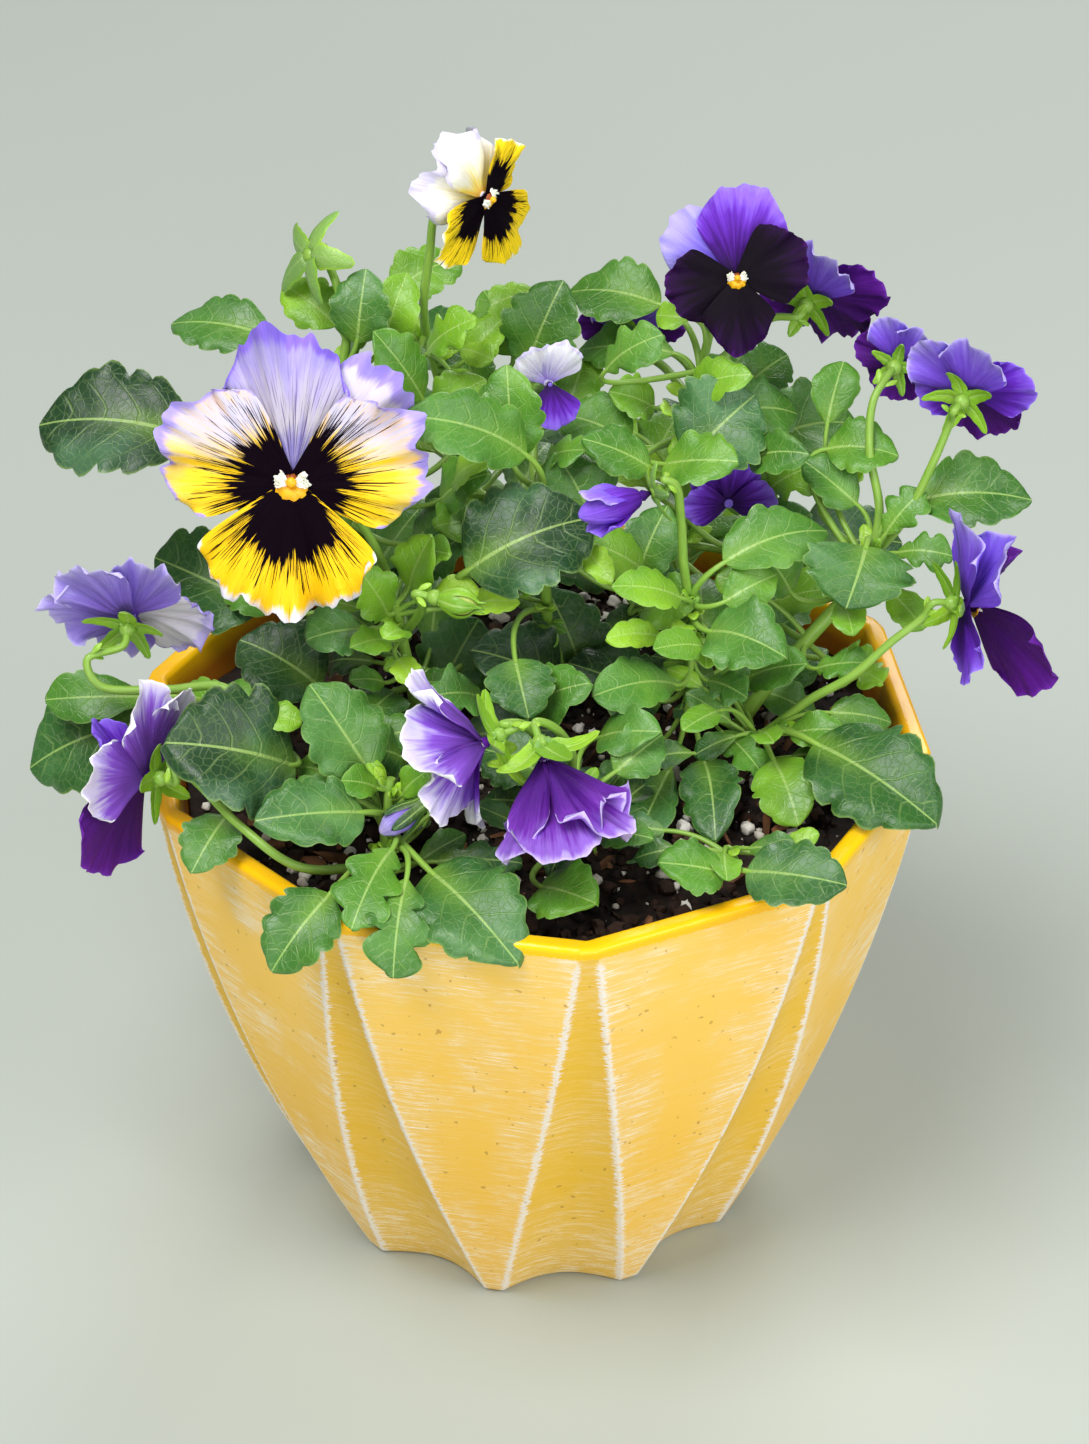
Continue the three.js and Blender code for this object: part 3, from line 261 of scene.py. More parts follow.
# Blooms: hub place, the way the face looks (azimuth from the front towards +X, elevation), spin where it
# isn't 0, and petal length. frill, pleat, sepals (their length), lean, to_light and sepal_width shape the
# bloom further, spindle is the radius of furled petals, and shut is the form that closed sepals lie on.
BLOOMS = {
    "bloom_front_ruffled": {
        "hub": (-64, -16, 244), "azimuth": -4, "elevation": 24, "reach": 37, "frill": 0.1,
        "petals": face_with(
            {
                0: dict(at=98, length=1.12, lift=0, curl=0.04, ruffle=0.07),
                1: dict(at=50, length=1.12, width=0.8, lift=-6, curl=0.05, ruffle=0.09, layer=-2.9),
                2: dict(at=158, length=1.02, width=1.0, curl=0.04, ruffle=0.06),
                3: dict(at=18, length=1.02, width=1.0, curl=0.04, ruffle=0.06),
                4: dict(at=268, length=0.95, width=1.32, curl=0.05, ruffle=0.06, layer=1.8),
            },
            ("lavender", "pale_lilac", "fancy_side", "fancy_side", "fancy_lip"),
        ),
    },
    "bloom_back_yellow": {
        "hub": (-14, 58, 292), "azimuth": 56, "elevation": -4, "spin": 34, "reach": 23,
        "petals": face_with(
            {
                0: dict(length=0.72, curl=0.5, ruffle=0.14), 1: dict(length=0.8, curl=0.35, ruffle=0.14),
                2: dict(length=1.0, width=0.95), 3: dict(length=0.8, width=0.75),
                4: dict(length=1.12, width=1.05),
            },
            ("cream", "cream", "gold_blotch", "gold_blotch", "gold_blotch"),
        ),
    },
    "bloom_back_dark": {
        "hub": (56, 50, 271), "azimuth": 2, "elevation": 22, "reach": 22, "frill": 0.045,
        "petals": face_with(
            {
                0: dict(at=138, length=1.12, width=1.05), 1: dict(at=82, length=1.18, width=1.2),
                2: dict(at=192, length=0.9, width=0.98), 3: dict(at=20, length=0.94, width=1.08),
                4: dict(at=272, length=0.94, width=0.95, point=0.5),
            },
            ("violet_sky", "violet_deep", "near_black", "near_black", "near_black"),
        ),
    },
    "bloom_back_behind": {
        "hub": (79, 72, 254), "azimuth": 152, "elevation": 12, "spin": -10, "reach": 24, "frill": 0.05,
        "petals": face_with(
            {2: dict(lift=12), 3: dict(lift=12), 4: dict(lift=22)},
            ("violet_pale", "violet_pale", "plum", "plum", "plum"),
        ),
    },
    "bloom_right_small": {
        "hub": (102, 48, 246), "azimuth": 158, "elevation": -4, "spin": 12, "reach": 15,
        "petals": face_with({}, ("violet_pale", "violet_pale", "plum", "plum", "plum")),
    },
    "bloom_right_back": {
        "hub": (119, 24, 249), "azimuth": 152, "elevation": 4, "spin": -15, "reach": 21,
        "petals": face_with(
            {2: dict(lift=10), 3: dict(lift=14), 4: dict(lift=24)},
            ("violet_pale", "violet_pale", "violet_deep", "violet_deep", "plum"),
        ),
    },
    "bloom_right_side": {
        "hub": (118, -14, 205), "azimuth": 104, "elevation": -10, "reach": 27,
        "petals": face_with(
            {
                0: dict(at=80, width=0.8, lift=-4, ruffle=0.1),
                1: dict(at=112, width=0.8, lift=12, ruffle=0.1),
                2: dict(at=234, length=0.8, width=0.75, lift=8, layer=-1.7),
                3: dict(at=30, length=0.85, width=0.6, lift=50),
                4: dict(at=216, length=1.15, width=1.15, lift=40),
            },
            ("violet_pale", "violet_pale", "violet_deep", "plum", "plum"),
            ("upper", "upper", "upper", "lower", "lower"),
        ),
    },
    "bloom_left_side": {
        "hub": (-104, -50, 173), "azimuth": -120, "elevation": -8, "reach": 27,
        "petals": face_with(
            {
                0: dict(at=100, width=0.85, lift=4), 1: dict(at=150, width=0.85, lift=0),
                2: dict(at=95, length=0.75, width=0.5, lift=50),
                3: dict(at=22, width=0.85, lift=8), 4: dict(at=320, length=1.12, width=1.1, lift=15),
            },
            ("violet_white", "violet_white", "violet_deep", "violet_white", "plum"),
            ("upper", "upper", "lower", "upper", "lower"),
        ),
    },
    "bloom_left_back": {
        "hub": (-110, -11, 199), "azimuth": 170, "elevation": 22, "spin": -65, "reach": 25, "pleat": 0.04,
        "frill": 0.05,
        "petals": face_with(
            {0: dict(lift=8), 1: dict(lift=8), 2: dict(lift=10), 3: dict(lift=10)},
            ("lilac", "lilac", "lilac", "lilac", "pale_lilac"),
        ),
    },
    "bloom_front_side": {
        "hub": (-13, -64, 193), "azimuth": -80, "elevation": -25, "reach": 27, "sepals": 1.15, "lean": 0.1,
        "pleat": 0.03,
        "to_light": 0.8,
        "petals": face_with(
            {
                0: dict(lift=30), 1: dict(at=58, lift=46), 2: dict(lift=34, width=0.74),
                3: dict(at=-18, lift=58, width=0.95), 4: dict(width=0.9, lift=34),
            },
            ("violet_white",) * 5, FOUR_UPPER,
        ),
    },
    "bloom_front_hanging": {
        "hub": (3, -70, 192), "azimuth": 30, "elevation": -60, "reach": 32, "sepals": 1.25, "lean": -0.15,
        "pleat": 0.06,
        "to_light": 1.0,
        "petals": face_with(
            {
                0: dict(lift=60, width=0.85), 1: dict(lift=56, width=0.8), 2: dict(lift=55, width=0.72),
                3: dict(lift=55, width=0.7), 4: dict(lift=62, width=0.8),
            },
            ("violet_striped",) * 5, ALL_UPPER,
        ),
    },
    "bloom_centre_hidden": {
        "hub": (55, 38, 206), "azimuth": 10, "elevation": 8, "reach": 15,
        "petals": face_with({}, ("violet_deep",) * 5, ALL_UPPER)[:4],
    },
    "bloom_centre_white": {
        "hub": (4, 41, 243), "azimuth": 20, "elevation": 10, "reach": 14,
        "petals": [
            petal for petal in face_with(
                {0: dict(lift=30), 1: dict(lift=30), 4: dict(lift=20)},
                ("white_lilac", "white_lilac", "violet_deep", "violet_deep", "violet_deep"),
            ) if petal["lift"] > 4
        ],
    },
    "bloom_back_hidden": {
        "hub": (28, 90, 234), "azimuth": 176, "elevation": 10, "reach": 17,
        "petals": face_with({}, ("violet_pale", "violet_pale", "plum", "plum", "plum")),
    },
    "bud_violet": {
        "hub": (29, -9, 236), "azimuth": -72, "elevation": -10, "reach": 18, "spindle": 4.6,
        "petals": [
            dict(at=90, length=1.0, width=0.6, lift=62, curl=-0.1, ruffle=0.04, layer=0,
                 part="upper", look="violet_pale"),
            dict(at=270, length=0.95, width=0.7, lift=64, curl=-0.1, ruffle=0.04, layer=0,
                 part="upper", look="violet_deep"),
        ],
    },
    "bud_closed": {
        "hub": (-30, -70, 177), "azimuth": -80, "elevation": -35, "reach": 13, "spindle": 3.4,
        "petals": [], "shut": "bud", "sepals": 2.1, "sepal_tone": 0.0,
    },
    "calyx_spent": {
        "hub": (-65, 54, 277), "azimuth": -50, "elevation": 30, "reach": 34, "petals": [], "sepals": 1.1,
        "sepal_width": 0.55, "to_light": 0.4,
    },
    "pod": {
        "hub": (-22, -27, 214), "azimuth": 78, "elevation": -6, "reach": 30, "petals": [],
        "shut": "pod", "sepals": 1.0,
    },
}
# Sepals: length is a share of the bloom's reach, which counts up to largest, and width and ear are shares of
# the length. They start at back behind the hub and lean back, and face is half their thickness.
SEPAL = {
    "count": 5, "length": 0.46, "largest": 28, "back": 3.4, "lean": 0.3, "width": 0.44, "ear": 0.16,
    "face": 0.25,
}
SHUT_SEPAL_FACE = 0.22
# Points along and across the blades.
SEPAL_GRID = (18, 7)
SHUT_SEPAL_GRID = (14, 9)
FAN_GRID = (9, 25)
FURL_GRID = (26, 26)
# Heights over the calyx's heart and radii of its green cup.
CUP = ((-3.2, 1.2), (-2.0, 2.1), (-0.6, 2.3), (0.5, 1.2))
# Profiles: places along the axis, and the radius there in millimetres or as a share of the largest.
POD_PROFILE = ([-3.4, -1.5, 1.0, 3.0, 5.0, 6.4, 7.0], [1.0, 2.5, 3.7, 3.8, 2.9, 1.4, 0.3])
BUD_PROFILE = ([-0.26, 0, 0.25, 0.45, 0.75, 1.0], [0.4, 0.5, 0.86, 1.0, 0.8, 0.2])
BUD_RADIUS = 3.5
FURL_PROFILE = ([0, 0.05, 0.25, 0.45, 0.75, 0.92, 1.0], [0.15, 0.5, 0.86, 1.0, 0.8, 0.42, 0.12])
RUFFLES = 7
HUB_LEVEL = {"upper": -0.1, "lower": 1.3}
MERGE_DISTANCE = 2e-6


def srgb(red, green, blue):
    """A colour given by its 0 to 255 values, as Blender's linear numbers."""
    linear = []
    for value in (red, green, blue):
        share = value / 255
        linear.append(share / 12.92 if share <= 0.04045 else ((share + 0.055) / 1.055) ** 2.4)
    return (*linear, 1.0)


# Meshes
def unit(v):
    """Vectors of length 1 along the last axis."""
    size = np.linalg.norm(v, axis=-1, keepdims=True)
    return v / np.maximum(size, 1e-9)


def merge_close(mesh):
    """Merges points that lie on each other, such as those at the foot of a petal."""
    work = bmesh.new()
    work.from_mesh(mesh)
    bmesh.ops.remove_doubles(work, verts=work.verts, dist=MERGE_DISTANCE)
    bmesh.ops.dissolve_degenerate(work, edges=work.edges, dist=MERGE_DISTANCE)
    work.to_mesh(mesh)
    work.free()


def add_object(name, data):
    """A new object in the scene."""
    made = bpy.data.objects.new(name, data)
    bpy.context.scene.collection.objects.link(made)
    return made


def three(first, second, third):
    """Points or attributes from three arrays or numbers."""
    return np.stack(np.broadcast_arrays(first, second, third), axis=-1).astype(float)


def grid(rows, columns):
    """Two arrays that hold the first and the second number of every point of a grid."""
    return np.meshgrid(rows, columns, indexing="ij")


class Pile:
    """Gathers surfaces in millimetres with their materials and attributes, and makes them one object."""

    def __init__(self):
        self.points = []
        self.lies = []
        self.mores = []
        self.faces = []
        self.kinds = []
        self.count = 0

    def add(self, points, faces, kind, lie, more):
        self.points.append(points)
        self.lies.append(lie)
        self.mores.append(more)
        for block in faces:
            self.faces.append(np.asarray(block) + self.count)
            self.kinds.append(np.full(len(block), kind))
        self.count += len(points)

    def build(self, name, materials, sharp=70):
        points = np.concatenate(self.points) * MM
        sizes = np.concatenate([np.full(len(block), block.shape[1]) for block in self.faces])
        corners = np.concatenate([block.ravel() for block in self.faces])
        mesh = bpy.data.meshes.new(name)
        mesh.vertices.add(len(points))
        mesh.vertices.foreach_set("co", points.ravel())
        mesh.loops.add(len(corners))
        mesh.loops.foreach_set("vertex_index", corners.astype(np.int32))
        mesh.polygons.add(len(sizes))
        starts = np.concatenate([[0], np.cumsum(sizes)[:-1]])
        mesh.polygons.foreach_set("loop_start", starts.astype(np.int32))
        for material in materials:
            mesh.materials.append(material)
        mesh.polygons.foreach_set("material_index", np.concatenate(self.kinds).astype(np.int32))
        for label, blocks in (("lie", self.lies), ("more", self.mores)):
            layer = mesh.attributes.new(label, "FLOAT_VECTOR", "POINT")
            layer.data.foreach_set("vector", np.concatenate(blocks).astype(np.float32).ravel())
        mesh.update(calc_edges=True)
        merge_close(mesh)
        mesh.shade_smooth()
        mesh.set_sharp_from_angle(angle=math.radians(sharp))
        return add_object(name, mesh)


def grid_normals(points, fallback):
    """Normals of a grid of points; where the grid has no width, the fallback."""
    across = np.gradient(points, axis=1)
    along = np.gradient(points, axis=0)
    normals = np.cross(across, along)
    size = np.linalg.norm(normals, axis=-1, keepdims=True)
    normals = np.where(size > 1e-7, normals / np.maximum(size, 1e-9), fallback)
    flipped = (normals * fallback).sum(-1, keepdims=True) < -0.6
    return np.where(flipped, -normals, normals)


def grid_faces(ids):
    """Four-sided faces between the neighbours of a grid of point numbers."""
    return np.stack([ids[:-1, :-1], ids[:-1, 1:], ids[1:, 1:], ids[1:, :-1]], axis=-1).reshape(-1, 4)


def ring_faces(rows, count):
    """Faces of rings of points joined one to the next, and a fan at each end to the two points after them."""
    ids = np.arange(rows * count).reshape(rows, count)
    after = np.roll(ids, -1, axis=1)
    quads = np.stack([ids[:-1], after[:-1], after[1:], ids[1:]], axis=-1).reshape(-1, 4)
    first, last = rows * count, rows * count + 1
    fans = np.array(
        [[first, after[0][i], ids[0][i]] for i in range(count)]
        + [[last, ids[-1][i], after[-1][i]] for i in range(count)]
    )
    return [quads, fans]


def thin_sheet(pile, points, fallback, over, under, kind, lie, more):
    """A thin closed blade from a grid of points: over and under are the heights of its two faces, which meet
    in an edge all round. The attribute more.x is 0 on the upper face and 1 on the lower."""
    rows, columns = points.shape[:2]
    normals = grid_normals(points, fallback)
    inside = np.zeros((rows, columns), bool)
    inside[1:-1, 1:-1] = True
    top = points + normals * (over * inside)[..., None]
    low = points - normals * (under * inside)[..., None]
    ids = np.arange(rows * columns).reshape(rows, columns)
    low_ids = ids.copy()
    low_ids[inside] = rows * columns + np.arange(inside.sum())
    faces = [grid_faces(ids), grid_faces(low_ids)[:, [0, 3, 2, 1]]]
    more_low = more.copy()
    more_low[..., 0] = 1.0
    pairs = [(top, low), (lie, lie), (more, more_low)]
    all_points, all_lie, all_more = [np.concatenate([a.reshape(-1, 3), b[inside]]) for a, b in pairs]
    pile.add(all_points, faces, kind, all_lie, all_more)


def frames_along(points):
    """Tangents and two side directions carried along a line of points without twist."""
    tangents = unit(np.gradient(points, axis=0))
    side = np.cross(tangents[0], UP if abs(tangents[0][2]) < 0.9 else np.array([1.0, 0, 0]))
    side = side / np.linalg.norm(side)
    sides = []
    for tangent in tangents:
        side = side - tangent * side.dot(tangent)
        side = side / np.linalg.norm(side)
        sides.append(side)
    sides = np.array(sides)
    return tangents, sides, np.cross(tangents, sides)


def tube(pile, points, radii, kind, seed, sides=10, ribs=0.0):
    """A closed tube along a line of points. lie holds its turn, its length in centimetres and its seed."""
    count = len(points)
    _, first, second = frames_along(points)
    angles = np.arange(sides) * 2 * math.pi / sides
    grow = 1 + ribs * np.cos(5 * angles)
    around = (
        np.cos(angles)[None, :, None] * first[:, None, :] + np.sin(angles)[None, :, None] * second[:, None, :]
    )
    around = around * (np.asarray(radii)[:, None] * grow[None, :])[..., None]
    skin = (points[:, None, :] + around).reshape(-1, 3)
    run = np.concatenate([[0], np.cumsum(np.linalg.norm(np.diff(points, axis=0), axis=1))]) / 10
    lie = three(np.tile(angles, count), np.repeat(run, sides), seed)
    lie = np.concatenate([lie, [[0, run[0], seed], [0, run[-1], seed]]])
    share = np.concatenate([np.repeat(run / run[-1], sides), [0, 1]])
    all_points = np.concatenate([skin, points[:1], points[-1:]])
    pile.add(all_points, ring_faces(count, sides), kind, lie, three(0, share, 0))


def catmull_rom(points, count):
    """The centripetal Catmull-Rom curve through the points, spaced evenly over its spans."""
    points = np.asarray(points, float)
    ends = np.concatenate([[2 * points[0] - points[1]], points, [2 * points[-1] - points[-2]]])
    made = []
    for at in np.linspace(0, len(points) - 1, count):
        span = min(int(at), len(points) - 2)
        t = at - span
        p0, p1, p2, p3 = ends[span:span + 4]
        d0, d1, d2 = (max(np.linalg.norm(b - a), 1e-4) ** 0.5 for a, b in ((p0, p1), (p1, p2), (p2, p3)))
        m1 = ((p1 - p0) / d0 - (p2 - p0) / (d0 + d1) + (p2 - p1) / d1) * d1
        m2 = ((p2 - p1) / d1 - (p3 - p1) / (d1 + d2) + (p3 - p2) / d2) * d1
        made.append(
            (2 * t**3 - 3 * t**2 + 1) * p1 + (t**3 - 2 * t**2 + t) * m1
            + (3 * t**2 - 2 * t**3) * p2 + (t**3 - t**2) * m2
        )
    return np.array(made)


def smooth_step(low, high, value):
    share = np.clip((value - low) / (high - low), 0, 1)
    return share * share * (3 - 2 * share)


# Materials
class Paint:
    """A material's nodes, added one call at a time."""

    def __init__(self, name):
        self.material = bpy.data.materials.new(name)
        self.material.use_nodes = True
        self.tree = self.material.node_tree
        self.shader = self.tree.nodes["Principled BSDF"]

    def node(self, kind, **settings):
        made = self.tree.nodes.new(kind)
        for key, value in settings.items():
            setattr(made, key, value)
        return made

    def feed(self, socket, value):
        if isinstance(value, bpy.types.NodeSocket):
            self.tree.links.new(value, socket)
        else:
            socket.default_value = value

    def attribute(self, name):
        """The three numbers of a point attribute."""
        split = self.node("ShaderNodeSeparateXYZ")
        self.feed(split.inputs[0], self.node("ShaderNodeAttribute", attribute_name=name).outputs["Vector"])
        return split.outputs

    def math(self, operation, first, second=0.0, third=0.0):
        made = self.node("ShaderNodeMath", operation=operation)
        for socket, value in zip(made.inputs, (first, second, third)):
            self.feed(socket, value)
        return made.outputs[0]

    times = partialmethod(math, "MULTIPLY")
    plus = partialmethod(math, "ADD")
    minus = partialmethod(math, "SUBTRACT")
    most = partialmethod(math, "MAXIMUM")
    times_plus = partialmethod(math, "MULTIPLY_ADD")

    def centred(self, value):
        """A noise moved down to lie round 0."""
        return self.math("SUBTRACT", value, 0.5)

    def vector(self, x, y, z):
        made = self.node("ShaderNodeCombineXYZ")
        for socket, value in zip(made.inputs, (x, y, z)):
            self.feed(socket, value)
        return made.outputs[0]

    def place(self):
        return self.node("ShaderNodeTexCoord").outputs["Object"]

    def noise(self, at, scale, detail=3.0, rough=0.5):
        made = self.node("ShaderNodeTexNoise")
        self.feed(made.inputs["Vector"], at)
        made.inputs["Scale"].default_value = scale
        made.inputs["Detail"].default_value = detail
        made.inputs["Roughness"].default_value = rough
        return made.outputs["Fac"]

    def step(self, value, low, high):
        """0 below low, 1 above high, smooth between."""
        made = self.node("ShaderNodeMapRange", interpolation_type="SMOOTHSTEP")
        for socket, number in zip(made.inputs, (value, low, high)):
            self.feed(socket, number)
        return made.outputs[0]

    def mix(self, share, first, second, blend="MIX"):
        made = self.node("ShaderNodeMix", data_type="RGBA", blend_type=blend, clamp_factor=True)
        self.feed(made.inputs["Factor"], share)
        self.feed(made.inputs[6], first)
        self.feed(made.inputs[7], second)
        return made.outputs[2]

    def ramp(self, value, stops):
        made = self.node("ShaderNodeValToRGB")
        elements = made.color_ramp.elements
        while len(elements) < len(stops):
            elements.new(0.5)
        for element, (place, colour) in zip(elements, stops):
            element.position = place
            element.color = colour
        self.feed(made.inputs[0], value)
        return made.outputs[0]

    def bump(self, height, strength, distance):
        made = self.node("ShaderNodeBump")
        made.inputs["Strength"].default_value = strength
        made.inputs["Distance"].default_value = distance
        self.feed(made.inputs["Height"], height)
        self.feed(self.shader.inputs["Normal"], made.outputs[0])

    def finish(self, colour, **sockets):
        """Sets the colour and any other socket, named with _ for a space, and gives the material."""
        self.feed(self.shader.inputs["Base Color"], colour)
        for key, value in sockets.items():
            self.feed(self.shader.inputs[key.replace("_", " ")], value)
        return self.material


YELLOW = srgb(246, 198, 14)
DEEP_YELLOW = srgb(250, 180, 15)
BLOTCH = srgb(10, 1, 11)
# Petal looks: colours from the throat out, colour of the edge and where it begins, colour of the back, veins
# and their strength. blotch is from where to where its ragged end lies, as shares of the petal, rays how far
# its streaks reach on, whiskers where its thin lines end, narrow how much it narrows to the sides, wash a
# pale tone over the upper part, and shine the gloss.
PETAL_LOOKS = {
    "lavender": {
        "out": [
            (0.0, srgb(104, 94, 178)), (0.2, srgb(140, 132, 198)), (0.42, srgb(190, 184, 196)),
            (0.62, srgb(186, 178, 206)), (0.8, srgb(172, 160, 222)),
        ],
        "edge": srgb(142, 114, 232), "edge_from": 0.86, "back": srgb(176, 168, 228),
        "vein": srgb(82, 68, 108), "vein_strength": 0.95,
    },
    "pale_lilac": {
        "out": [(0.0, srgb(200, 190, 215)), (0.5, srgb(232, 226, 236)), (0.8, srgb(222, 214, 240))],
        "edge": srgb(168, 150, 236), "edge_from": 0.82, "back": srgb(222, 216, 228),
        "vein": srgb(160, 146, 196), "vein_strength": 0.5,
    },
    "fancy_side": {
        "out": [(0.0, YELLOW), (0.45, YELLOW), (0.72, srgb(248, 210, 50)), (0.95, srgb(244, 216, 130))],
        "edge": srgb(172, 156, 232), "edge_from": 0.88, "back": srgb(232, 206, 110),
        "blotch": (0.26, 0.66), "rays": 0.7, "wash": srgb(204, 198, 220), "whiskers": 0.7, "narrow": 0.3,
    },
    "fancy_lip": {
        "out": [(0.0, YELLOW), (0.8, YELLOW), (1.0, srgb(246, 200, 30))],
        "edge": srgb(232, 228, 242), "edge_from": 0.91, "back": srgb(236, 206, 90),
        "blotch": (0.44, 0.86), "rays": 0.75, "whiskers": 0.76, "narrow": 1.3,
    },
    "cream": {
        "out": [
            (0.0, DEEP_YELLOW), (0.22, srgb(246, 222, 90)), (0.5, srgb(248, 242, 214)),
            (0.8, srgb(250, 248, 240)),
        ],
        "edge": srgb(222, 216, 244), "edge_from": 0.8, "back": srgb(222, 220, 208),
        "vein": srgb(190, 180, 196), "vein_strength": 0.4,
    },
    "gold_blotch": {
        "out": [(0.0, YELLOW), (0.95, srgb(255, 220, 26))],
        "edge": srgb(250, 246, 226), "edge_from": 0.94, "back": srgb(214, 196, 110),
        "blotch": (0.48, 0.88), "rays": 0.45, "whiskers": 0.82, "narrow": 0.9,
    },
    "violet_pale": {
        "out": [
            (0.0, srgb(52, 4, 110)), (0.3, srgb(84, 24, 172)), (0.55, srgb(116, 66, 216)),
            (0.8, srgb(148, 116, 238)), (0.95, srgb(176, 156, 248)),
        ],
        "edge": srgb(196, 182, 250), "edge_from": 0.9, "back": srgb(132, 100, 226),
        "vein": srgb(70, 20, 154), "vein_strength": 0.6,
    },
    "violet_sky": {
        "out": [
            (0.0, srgb(70, 30, 150)), (0.35, srgb(120, 96, 222)), (0.7, srgb(156, 142, 242)),
            (0.95, srgb(176, 166, 250)),
        ],
        "edge": srgb(180, 168, 250), "edge_from": 0.92, "back": srgb(140, 124, 232),
        "vein": srgb(96, 70, 200), "vein_strength": 0.6,
    },
    "violet_deep": {
        "out": [
            (0.0, srgb(26, 0, 42)), (0.35, srgb(70, 10, 128)), (0.65, srgb(106, 44, 192)),
            (0.92, srgb(142, 100, 234)),
        ],
        "edge": srgb(150, 118, 242), "edge_from": 0.92, "back": srgb(88, 34, 176),
        "vein": srgb(40, 2, 92), "vein_strength": 0.65,
    },
    "violet_white": {
        "out": [
            (0.0, srgb(64, 8, 110)), (0.35, srgb(98, 28, 154)), (0.58, srgb(132, 72, 202)),
            (0.74, srgb(196, 178, 238)), (0.86, srgb(238, 236, 250)),
        ],
        "edge": srgb(250, 248, 254), "edge_from": 0.88, "back": srgb(144, 102, 214),
        "vein": srgb(66, 10, 116), "vein_strength": 0.6,
    },
    "violet_striped": {
        "out": [
            (0.0, srgb(36, 2, 54)), (0.4, srgb(80, 16, 118)), (0.68, srgb(118, 48, 168)),
            (0.86, srgb(160, 116, 218)),
        ],
        "edge": srgb(206, 188, 242), "edge_from": 0.9, "back": srgb(96, 36, 164),
        "vein": srgb(38, 2, 78), "vein_strength": 0.85,
    },
    "plum": {
        "out": [(0.0, srgb(30, 2, 46)), (0.5, srgb(60, 6, 98)), (0.9, srgb(86, 16, 134))],
        "edge": srgb(104, 34, 158), "edge_from": 0.92, "back": srgb(70, 10, 108),
        "vein": srgb(30, 0, 54), "vein_strength": 0.6,
    },
    "near_black": {
        "out": [(0.0, srgb(6, 0, 9)), (0.6, srgb(14, 1, 20)), (0.95, srgb(36, 4, 54))],
        "edge": srgb(66, 12, 96), "edge_from": 0.95, "back": srgb(46, 6, 70), "shine": 0.12,
        "vein": srgb(5, 0, 8), "vein_strength": 0.4,
    },
    "lilac": {
        "out": [
            (0.0, srgb(96, 54, 172)), (0.4, srgb(128, 98, 206)), (0.7, srgb(154, 136, 222)),
            (0.92, srgb(182, 170, 234)),
        ],
        "edge": srgb(200, 190, 242), "edge_from": 0.88, "back": srgb(142, 118, 212),
        "vein": srgb(80, 44, 156), "vein_strength": 0.85,
    },
    "white_lilac": {
        "out": [(0.0, srgb(120, 84, 200)), (0.4, srgb(214, 208, 240)), (0.8, srgb(240, 238, 248))],
        "edge": srgb(214, 206, 244), "edge_from": 0.88, "back": srgb(226, 222, 242),
        "vein": srgb(150, 130, 214), "vein_strength": 0.5,
    },
}


